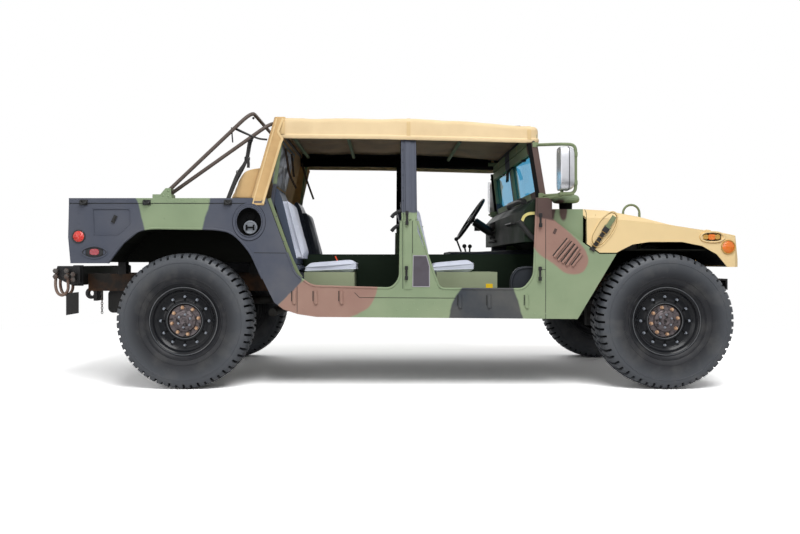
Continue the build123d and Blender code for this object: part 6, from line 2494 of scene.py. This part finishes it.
@dataclass
class BedRigging(Assembly):
    """Straps, hoops and brackets over the bed, the rear beam with its shackles, and the short chain."""

    beam_x: tuple[float, float] = (-938, -876)
    beam_z: tuple[float, float] = (700, 842)
    beam_half: float = 545
    shackle_y: float = -560.0
    links: int = 10
    link_pitch: float = 17.0

    def straps(self) -> Surface:
        """Webbing from the rail to the hoops, with a slack tail and a cross strap.

        Returns:
            The straps of both sides.
        """
        y = -968
        lines = (
            [(303, -1070, 1288), (363, -1010, 1476), (418, y, 1568), (441, y, 1722), (463, y, 1742)],
            [
                (312, -1062, 1288), (352, -1004, 1420), (398, y, 1520), (432, y, 1600), (448, y, 1700),
                (466, y, 1740)
            ],
            [(342, y - 14, 1790), (404, y - 8, 1762), (466, y, 1738), (510, y, 1722), (562, y, 1718)],
            [(318, y - 16, 1800), (322, y - 16, 1742), (326, y - 14, 1696)],
            [(424, y - 6, 1600), (434, y - 8, 1560), (432, y - 8, 1522)]
        )
        widths = (22, 15, 13, 9, 20)
        return merged(*[ribbon(line, width, 3.2, 40) for line, width in zip(lines, widths)]).both_sides()

    def buckles(self) -> Surface:
        """Three-bar slides where the straps double back, and the short links between the hoops.

        Returns:
            The slides and links of both sides.
        """
        slides = []
        for x, z, y in ((424, 1586, -972), (372, 1486, -1002), (444, 1716, -972)):
            slides.append(hoop(oval(17, 13, 20, 5.0), (x, y, z), 5, 6))
            slides.append(ribbon([(x - 15, y, z), (x + 15, y, z)], 5, 6))
        slides.append(tube([(330, -986, 1800), (462, -972, 1738)], 7, 10, sides=8))
        slides.append(tube([(474, -992, 1868), (466, -992, 1856)], 8, 4, sides=8))
        return merged(*slides).both_sides()

    def hoops(self) -> Surface:
        """Two folded hoops over the bed, thin tubes on the line of the frame's own.

        Returns:
            Both hoops.
        """
        table = ((-126.0, WALL - 24, 462.0, WALL - 80, 1906.0), (-106.0, WALL - 68, 600.0, WALL - 130, 1846.0))
        hoops = []
        for foot_x, foot_y, top_x, top_y, top_z in table:
            start = foot_x - (top_x - foot_x) / (top_z - 1330.0) * 20
            points = [
                (start, -foot_y, 1310.0), (top_x, -top_y, top_z), (top_x, top_y, top_z), (start, foot_y, 1310.0)
            ]
            hoops.append(tube(points, 13.0, 110, up=(1, 0, 0), sides=20))
        return merged(*hoops)

    def bumper(self) -> Surface:
        """Rear beam with its caps, the pintle with its eye, and the bars over the rails' ends.

        Returns:
            The beam with all that it carries.
        """
        (x0, x1), (z0, z1), half = self.beam_x, self.beam_z, self.beam_half
        beam = box((x0, -half, z0), (x1, half, z1))
        caps = [box((x0 - 6, y - 6, z0 - 6), (x1 + 6, y + 6, z1 + 6)) for y in (-half, half)]
        pintle = box((x0 - 30, -70, 560), (x0, 70, 740))
        eye = hoop(oval(34, 34), (-996, -24, 620), 24, 48)
        bolts = [facing_x(self.bolt_head(), (-968, y, z), -1) for y in (-46, 46) for z in (590, 710)]
        return merged(beam, *caps, pintle, eye, *bolts)

    def bolt_head(self) -> Surface:
        """Hexagonal head with a chamfered top."""
        return revolved([(0.0, 15), (8, 15), (10, 12), (10, 0)], 6)

    def shackles(self) -> Surface:
        """Rusty towing shackles at the rear beam's ends: lugs, pins with nuts, bows and the flaps below.

        Returns:
            The shackles of both sides: bows, plates and pins.
        """
        y = self.shackle_y
        bow = tube(
            [
                (-1046, y - 44, 800), (-1056, y - 44, 700), (-1040, y - 44, 640), (-1000, y - 44, 620),
                (-958, y - 44, 660), (-964, y - 44, 800)
            ],
            11, 34, sides=12
        )
        plate = [(-876, 716), (-876, 842), (-1044, 842), (-1058, 800), (-1040, 748), (-940, 700)]
        lugs = [prism(plate, y + a, y + b) for a, b in ((-34, -24), (24, 34))]
        holes = ((-1046, 806), (-1046, 764), (-964, 806), (-964, 764), (-916, 742), (-916, 780))
        pins = [tube([(x, y - 58, z), (x, y + 58, z)], 13, 4, up=(0, 0, 1), sides=12) for x, z in holes]
        heads = [
            revolved([(0.0, 0), (0, 20), (12, 20), (14, 16), (14, 0)][::-1], 6, (x, y - 58, z), -1)
            for x, z in holes
        ]
        flap = prism([(-978, 640), (-884, 650), (-884, 494), (-978, 478)], y - 40, y - 36)
        return merged(
            bow.painted(0), bow.moved((0, 88, 0)).painted(0), *[lug.painted(1) for lug in lugs],
            *[pin.painted(2) for pin in pins], *[head.painted(2) for head in heads], flap.painted(1)
        ).both_sides()

    def brackets(self) -> Surface:
        """Cheeks on the bed side that hold the hoops' feet, with their bolts.

        Returns:
            The brackets of both sides.
        """
        outline = [(-162, 1300), (-152, 1322), (-110, 1372), (-74, 1372), (-72, 1300)]
        cheek = prism(outline, -WALL - 4, -WALL + 2)
        inner = prism(outline, -1012, -1008)
        bolts = studs([(-128, -WALL - 4, 1322), (-92, -WALL - 4, 1352), (-90, -WALL - 4, 1316)], -1, 8, 5)
        return merged(cheek, inner, bolts).both_sides()

    def chain(self) -> Surface:
        """Short hanging chain: ovals of rod, each turned a quarter against the one above.

        Returns:
            The chain.
        """
        link = hoop(oval(7, 11, 14, 2.0), (0, 0, 0), 4, 4)
        count = self.links
        places = rows_of(-784.0, -395.0, 640 - self.link_pitch * np.arange(count))
        flat = np.eye(3)
        quarter = np.array([(0, -1, 0), (1, 0, 0), (0, 0, 1)], float)
        turns = np.stack([flat if i % 2 else quarter for i in range(count)])
        return repeated(link, places, turns)

    def build(self) -> None:
        """Make the straps, buckles, brackets and chain."""
        self.add("hoop_straps", self.straps(), [WEBBING], "black_plastic")
        self.add("strap_slides", self.buckles(), [BLACK_PLASTIC], "ring_steel", bevel=0.8)
        self.add("hoop_brackets", self.brackets(), [CAMOUFLAGE], "camo_paint", bevel=1.0)
        self.add("safety_chain", self.chain(), [CHAIN_STEEL], "cast_metal")
        self.add("cargo_hoops", self.hoops(), [BROWN_ENAMEL], "hoop_paint", replaces=["cargo_bows"])
        self.add(
            "rear_beam", self.bumper(), [CHASSIS_ENAMEL], "chassis_paint", bevel=2.0, replaces=["rear_bumper"]
        )
        self.add(
            "tow_shackles", self.shackles(), [RUSTED_IRON, CHASSIS_ENAMEL, CHAIN_STEEL], "cast_metal", bevel=1.5
        )


@dataclass
class Cockpit(Assembly):
    """Dash instruments, column shroud, pedals, covers, straps, and what stands round the windshield."""

    dash_x: float = 2329.0
    wheel_middle: tuple[float, float, float] = (2135.0, 550, 1251)
    column_tilt: float = 33.5  # degrees
    pedals: tuple[float, ...] = (470, 590, 700)
    gauge_y: tuple[float, ...] = (430.0, 510.0, 590.0, 670.0)
    gauge_z: tuple[float, ...] = (1190.0, 1108.0)

    def gauges(self) -> Surface:
        """Round gauges with rims and pointers, switches and a grab handle on the dash's face.

        Returns:
            The instruments: rims, dials and pointers.
        """
        dial = revolved([(0.5, 0), (0.5, 30), (2.0, 30)][::-1], 28).painted(1)
        rim = revolved([(0.0, 36), (6, 35), (7, 31), (2, 30)], 28).painted(0)
        hand = box((-1.2, 1.2, 0), (1.2, 2.2, 24)).painted(2)
        gauge = merged(dial, rim, hand)
        places = [(y, z) for z in self.gauge_z for y in self.gauge_y]
        parts = [facing_x(gauge, (self.dash_x, y, z), -1) for y, z in places]
        knob = revolved([(0.0, 11), (8, 11), (18, 8), (18, 0)], 14).painted(0)
        parts += [facing_x(knob, (self.dash_x, y, 1052.0), -1) for y in np.arange(330, 760, 62)]
        parts.append(
            tube(
                [(2326, -420, 1150), (2296, -420, 1150), (2296, -720, 1150), (2326, -720, 1150)], 9, 16,
                up=(0, 0, 1)
            ).painted(0)
        )
        return merged(*parts)

    def shroud(self) -> Surface:
        """Column shroud with its stalk and the switch box, and the pedals.

        Returns:
            The shroud and the pedals.
        """
        turn, (x, y, z) = math.radians(self.column_tilt), self.wheel_middle
        start, end = [np.array((x + a * math.cos(turn), y, z - a * math.sin(turn))) for a in (40, 215)]
        sleeve = swept(np.stack([start, (start + end) / 2, end]), circle(38, 20), up=(0, 1, 0))
        stalk = tube(
            [start + (20, 0, -10), start + (26, 60, 8), start + (20, 118, 26)], 5, 20, up=(0, 0, 1), sides=8
        )
        switch = box((2176, 590, 1150), (2226, 640, 1226))
        pedals = [box((2592, y - 30, 700), (2604, y + 30, 780)) for y in self.pedals]
        arms = [tube([(2604, y, 760), (2640, y, 900), (2660, y, 980)], 9, 30, sides=8) for y in self.pedals]
        return merged(sleeve, stalk, switch, *pedals, *arms)

    def fittings(self) -> Surface:
        """Three wiper motors on the windshield's upper rail, and the hooks on its middle post.

        Returns:
            All the fittings.
        """
        motors = [box((2404, y - 34, 1624), (2432, y + 34, 1676)) for y in (-500, 60, 470)]
        hooks = [tube([(2408, y, 1640), (2372, y, 1600), (2368, y, 1520)], 8, 14, sides=8) for y in (-60, 0)]
        return merged(*motors, *hooks)

    def hoses(self) -> Surface:
        """Ribbed hot air hose from the dash to the pillar, and the duct under the glass.

        Returns:
            Both hoses.
        """
        hose = tube(
            [(2290, -1046, 1150), (2330, -1046, 1096), (2372, -1044, 1046), (2410, -1040, 1016)], 18, 40
        )
        duct = tube(
            [(2350, -900, 1296), (2338, -820, 1304), (2336, -300, 1306), (2350, -240, 1298)], 20, 60,
            up=(0, 0, 1)
        )
        return merged(hose, duct)

    def tunnel_cover(self) -> Surface:
        """Quilted black cover over the engine tunnel: a rounded section carried forward, with a rolled edge.

        Returns:
            The cover with its rolled edge.
        """
        section = rounded_path(
            [(-395, 0), (395, 0), (395, 210), (330, 262), (-330, 262), (-395, 210)], 50, 5, closed=True
        )
        path = np.array([(1880.0, 0, 690), (2100, 0, 690), (2400, 0, 704), (2660, 0, 712)])
        cover = swept(path, section)
        pad = prism(
            rounded_path([(2236, 560), (2236, 770), (2292, 842), (2662, 842), (2662, 560)], 60, 6, closed=True),
            -1004, -968
        )
        roll = tube([(2246, -1004, 600), (2246, -1004, 764), (2296, -1004, 832), (2655, -1004, 832)], 9, 60)
        return merged(cover, pad, roll)

    def intake(self) -> Surface:
        """Rounded intake cap on its dark neck, turned about a vertical axis.

        Returns:
            The cap, with its neck as part 1.
        """
        profile = [
            (1341, 0), (1340, 62), (1333, 82), (1322, 92), (1307, 95), (1293, 91), (1285, 82), (1282, 66),
            (1280, 46)
        ]
        neck = [(1281, 46), (1240, 44), (1232, 52)]
        cap = revolved(rounded_path(profile, 6, 3), 48).painted(0)
        stem = revolved(neck, 36).painted(1)
        return upright(merged(cap, stem), 2640, -910)

    def lift_rings(self) -> Surface:
        """Half rings that lift the nose, on their plates through the hood.

        Returns:
            The rings of both sides.
        """
        angle = np.radians(np.linspace(0, 180, 25))
        x, y, z, radius = 3252, -416.0, 1244, 62
        path = rows_of(x + radius * np.cos(angle), y, z + radius * np.sin(angle))
        ring = swept(path, circle(8.5, 12), up=(0, 1, 0))
        legs = [box((a - 8, y - 7, 782), (a + 8, y + 7, z + 2)) for a in (x - radius, x + radius)]
        return merged(ring, *legs).both_sides()

    def shroud_plates(self) -> Surface:
        """Plates between the radiator and the grille that lead the air and close off the light."""
        sides = [box((3478, y - 2, 784), (3734, y + 2, 1060)) for y in (-424, 424)]
        return merged(
            *sides, box((3480, -424, 1056), (3700, 424, 1060)), box((3480, -424, 784), (3734, 424, 788))
        )

    def build(self) -> None:
        """Make the cab's fittings."""
        self.add("heater_hoses", self.hoses(), [BLACK_PLASTIC], "black_plastic")
        self.add("tunnel_cover", self.tunnel_cover(), [BLACK_VINYL], "black_plastic", sharp=50)
        self.add("intake_cap", self.intake(), [CAMOUFLAGE, BLACK_LINER_AND_SHADE], "camo_paint", replaces=["air_intake"])
        self.add(
            "lift_rings", self.lift_rings(), [GREEN_ENAMEL], "dark_paint", bevel=1.0, replaces=["lift_brackets"]
        )
        self.add("radiator_shroud", self.shroud_plates(), [BLACK_LINER_AND_SHADE], "dark_paint")
        self.add("dash_gauges", self.gauges(), [BLACK_PLASTIC, DIAL, POINTER], "black_plastic", bevel=0.6)
        self.add("column_shroud", self.shroud(), [BLACK_PLASTIC], "black_plastic", bevel=1.5)
        self.add("shield_fittings", self.fittings(), [BLACK_PLASTIC], "black_plastic", bevel=2.0)
        loop = ribbon(
            [(2400, -1046, 1204), (2356, -1044, 1202), (2326, -1042, 1184), (2314, -1040, 1152)], 20, 4, 20
        )
        self.add("pillar_strap", loop, [PALE_WEBBING], "canvas_cloth")
        belt = ribbon([(1034, -690, 872), (1026, -694, 892), (1016, -694, 914)], 9, 5, 10)
        snaps = merged(*[dome(9, 6, (2408, side * 946, 1704), side) for side in (-1, 1)])
        self.add("roof_snaps", snaps, [BLACK_PLASTIC], "ring_steel")
        self.add("belt_tongue", belt, [ORANGE], "lamp_lens", bevel=1.0)


# ---- camera, lamps and floor -------------------------------------------------------------------------------
@dataclass
class Studio:
    """Pale floor, soft lamps and the camera."""

    camera_place: tuple[float, float, float] = (-0.0165, -6.480, 0.864)
    lens_mm: float = 35.84
    sensor_mm: float = 36.0
    shift: tuple[float, float] = (0.02, -0.005)
    world_strength: float = 0.36
    floor_half: float = 60.0
    floor_colour: float = 0.8  # share of the light that the floor gives back to the car
    floor_seen: float = 2.2  # the same for the camera, so that only the shadow shows
    floor_fade: tuple[float, float] = (3.2, 6.5)
    lamps: tuple[tuple[str, Point, Point, float, float], ...] = (  # name, place, aim, size, power
        ("key_lamp", (1.2, -5.0, 6.6), (0.1, -0.6, 0.8), 4.5, 430),
        ("fill_lamp", (-4.8, -6.0, 2.4), (0.0, -0.5, 0.8), 4.0, 75),
        ("back_lamp", (-1.0, 6.5, 4.6), (0.0, 0.0, 1.0), 5.0, 110),
    )

    def camera(self) -> None:
        """Set the camera, level and square to the car's right side."""
        data = bpy.data.cameras.new("side_camera")
        data.lens, data.sensor_width = self.lens_mm, self.sensor_mm
        data.shift_x, data.shift_y = self.shift
        data.clip_end = 200.0
        eye = bpy.data.objects.new("side_camera", data)
        eye.location = self.camera_place
        eye.rotation_euler = (math.radians(90), 0, 0)
        bpy.context.scene.collection.objects.link(eye)
        bpy.context.scene.camera = eye

    def lamp(self, name: str, place: Point, aim: Point, size: float, power: float) -> None:
        """Hang a square lamp at a place, turned towards a point.

        Args:
            name: Name of the lamp.
            place: Where it hangs, in metres.
            aim: Point that it faces.
            size: Length of its side, in metres.
            power: Power in watts.
        """
        data = bpy.data.lights.new(name, "AREA")
        data.shape, data.size, data.energy = "SQUARE", size, power
        lamp = bpy.data.objects.new(name, data)
        direction = np.asarray(aim, float) - np.asarray(place, float)
        direction /= np.linalg.norm(direction)
        lamp.location = place
        lamp.rotation_euler = (
            math.acos(-direction[2]), 0.0, math.atan2(direction[1], direction[0]) - math.pi / 2
        )
        bpy.context.scene.collection.objects.link(lamp)

    def world(self) -> None:
        """White surroundings: plain light on the object, pure white where they are seen or mirrored."""
        scene = bpy.context.scene
        scene.world = scene.world or bpy.data.worlds.new("surroundings")
        scene.world.use_nodes = True
        tree = scene.world.node_tree
        tree.nodes.clear()
        path = add_node(tree, "LightPath")
        seen = path.outputs["Is Camera Ray"]
        for ray in ("Is Glossy Ray", "Is Transmission Ray"):
            seen = add_node(tree, "Math", {0: seen, 1: path.outputs[ray]}, operation="MAXIMUM").outputs[0]
        strength = add_node(tree, "MapRange", {0: seen, 3: self.world_strength, 4: 1.0}).outputs[0]
        light = add_node(tree, "Background", {0: (1, 1, 1, 1), 1: strength}).outputs[0]
        add_node(tree, "OutputWorld", {0: light})

    def floor(self) -> None:
        """Lay the pale floor, near white to the camera but for the shadow."""
        half = self.floor_half
        mesh = bpy.data.meshes.new("floor")
        mesh.from_pydata(
            [(-half, -half, 0), (half, -half, 0), (half, half, 0), (-half, half, 0)], [], [(0, 1, 2, 3)]
        )
        floor = bpy.data.objects.new("floor", mesh)
        bpy.context.scene.collection.objects.link(floor)
        material = bpy.data.materials.new("pale_floor")
        material.use_nodes = True
        tree = material.node_tree
        tree.nodes.clear()
        seen = add_node(tree, "LightPath").outputs["Is Camera Ray"]
        level = add_node(tree, "MapRange", {0: seen, 3: self.floor_colour, 4: self.floor_seen}).outputs[0]
        matt = add_node(tree, "BsdfDiffuse", {0: level}).outputs[0]
        place = add_node(tree, "TexCoord").outputs["Object"]
        reach = add_node(tree, "VectorMath", {0: place}, operation="LENGTH").outputs["Value"]
        near, far = self.floor_fade
        away = add_node(
            tree, "MapRange", {0: reach, 1: near, 2: far}, interpolation_type="SMOOTHSTEP"
        ).outputs[0]
        backdrop = add_node(tree, "Emission", {0: (1, 1, 1, 1), 1: seen}).outputs[0]
        floor_and_backdrop = add_node(tree, "MixShader", {0: away, 1: matt, 2: backdrop}).outputs[0]
        add_node(tree, "OutputMaterial", {0: floor_and_backdrop})
        mesh.materials.append(material)

    def build(self) -> None:
        """Set up everything that isn't part of the car."""
        bpy.context.scene.view_settings.view_transform = "Standard"
        self.camera()
        self.world()
        for row in self.lamps:
            self.lamp(*row)
        self.floor()


def dress_nodes(nodes: dict[str, bpy.types.Object]) -> None:
    """Give each CAD node listed in NODE_FINISHES its finish, and log those left without one.

    Args:
        nodes: The frame's objects by name.
    """
    for finish, names in NODE_FINISHES.items():
        for name in names:
            for material_slot in nodes[name].material_slots:
                material_slot.material = finish.material()
    missing = set(nodes) - {name for names in NODE_FINISHES.values() for name in names}
    LOG.info("nodes without a finish: %s", sorted(missing))


def main() -> None:
    """Load the frame and build every sub-assembly in order."""
    logging.basicConfig(level=logging.INFO, format="%(message)s")
    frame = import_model()
    dress_nodes(frame["nodes"])
    Studio().build()
    for end, axle_x in (("front", FRONT_AXLE), ("rear", 0.0)):
        for side in (Side.LEFT, Side.RIGHT):
            Wheel(corner=f"{end}_{side.name.lower()}", axle_x=axle_x, side=side).build()
    for assembly in (SoftTop, Seats, HoodTrim, SideTrim, Mirrors, SpringUnits, BedRigging, Cockpit):
        assembly().build()


if __name__ == "__main__":
    main()
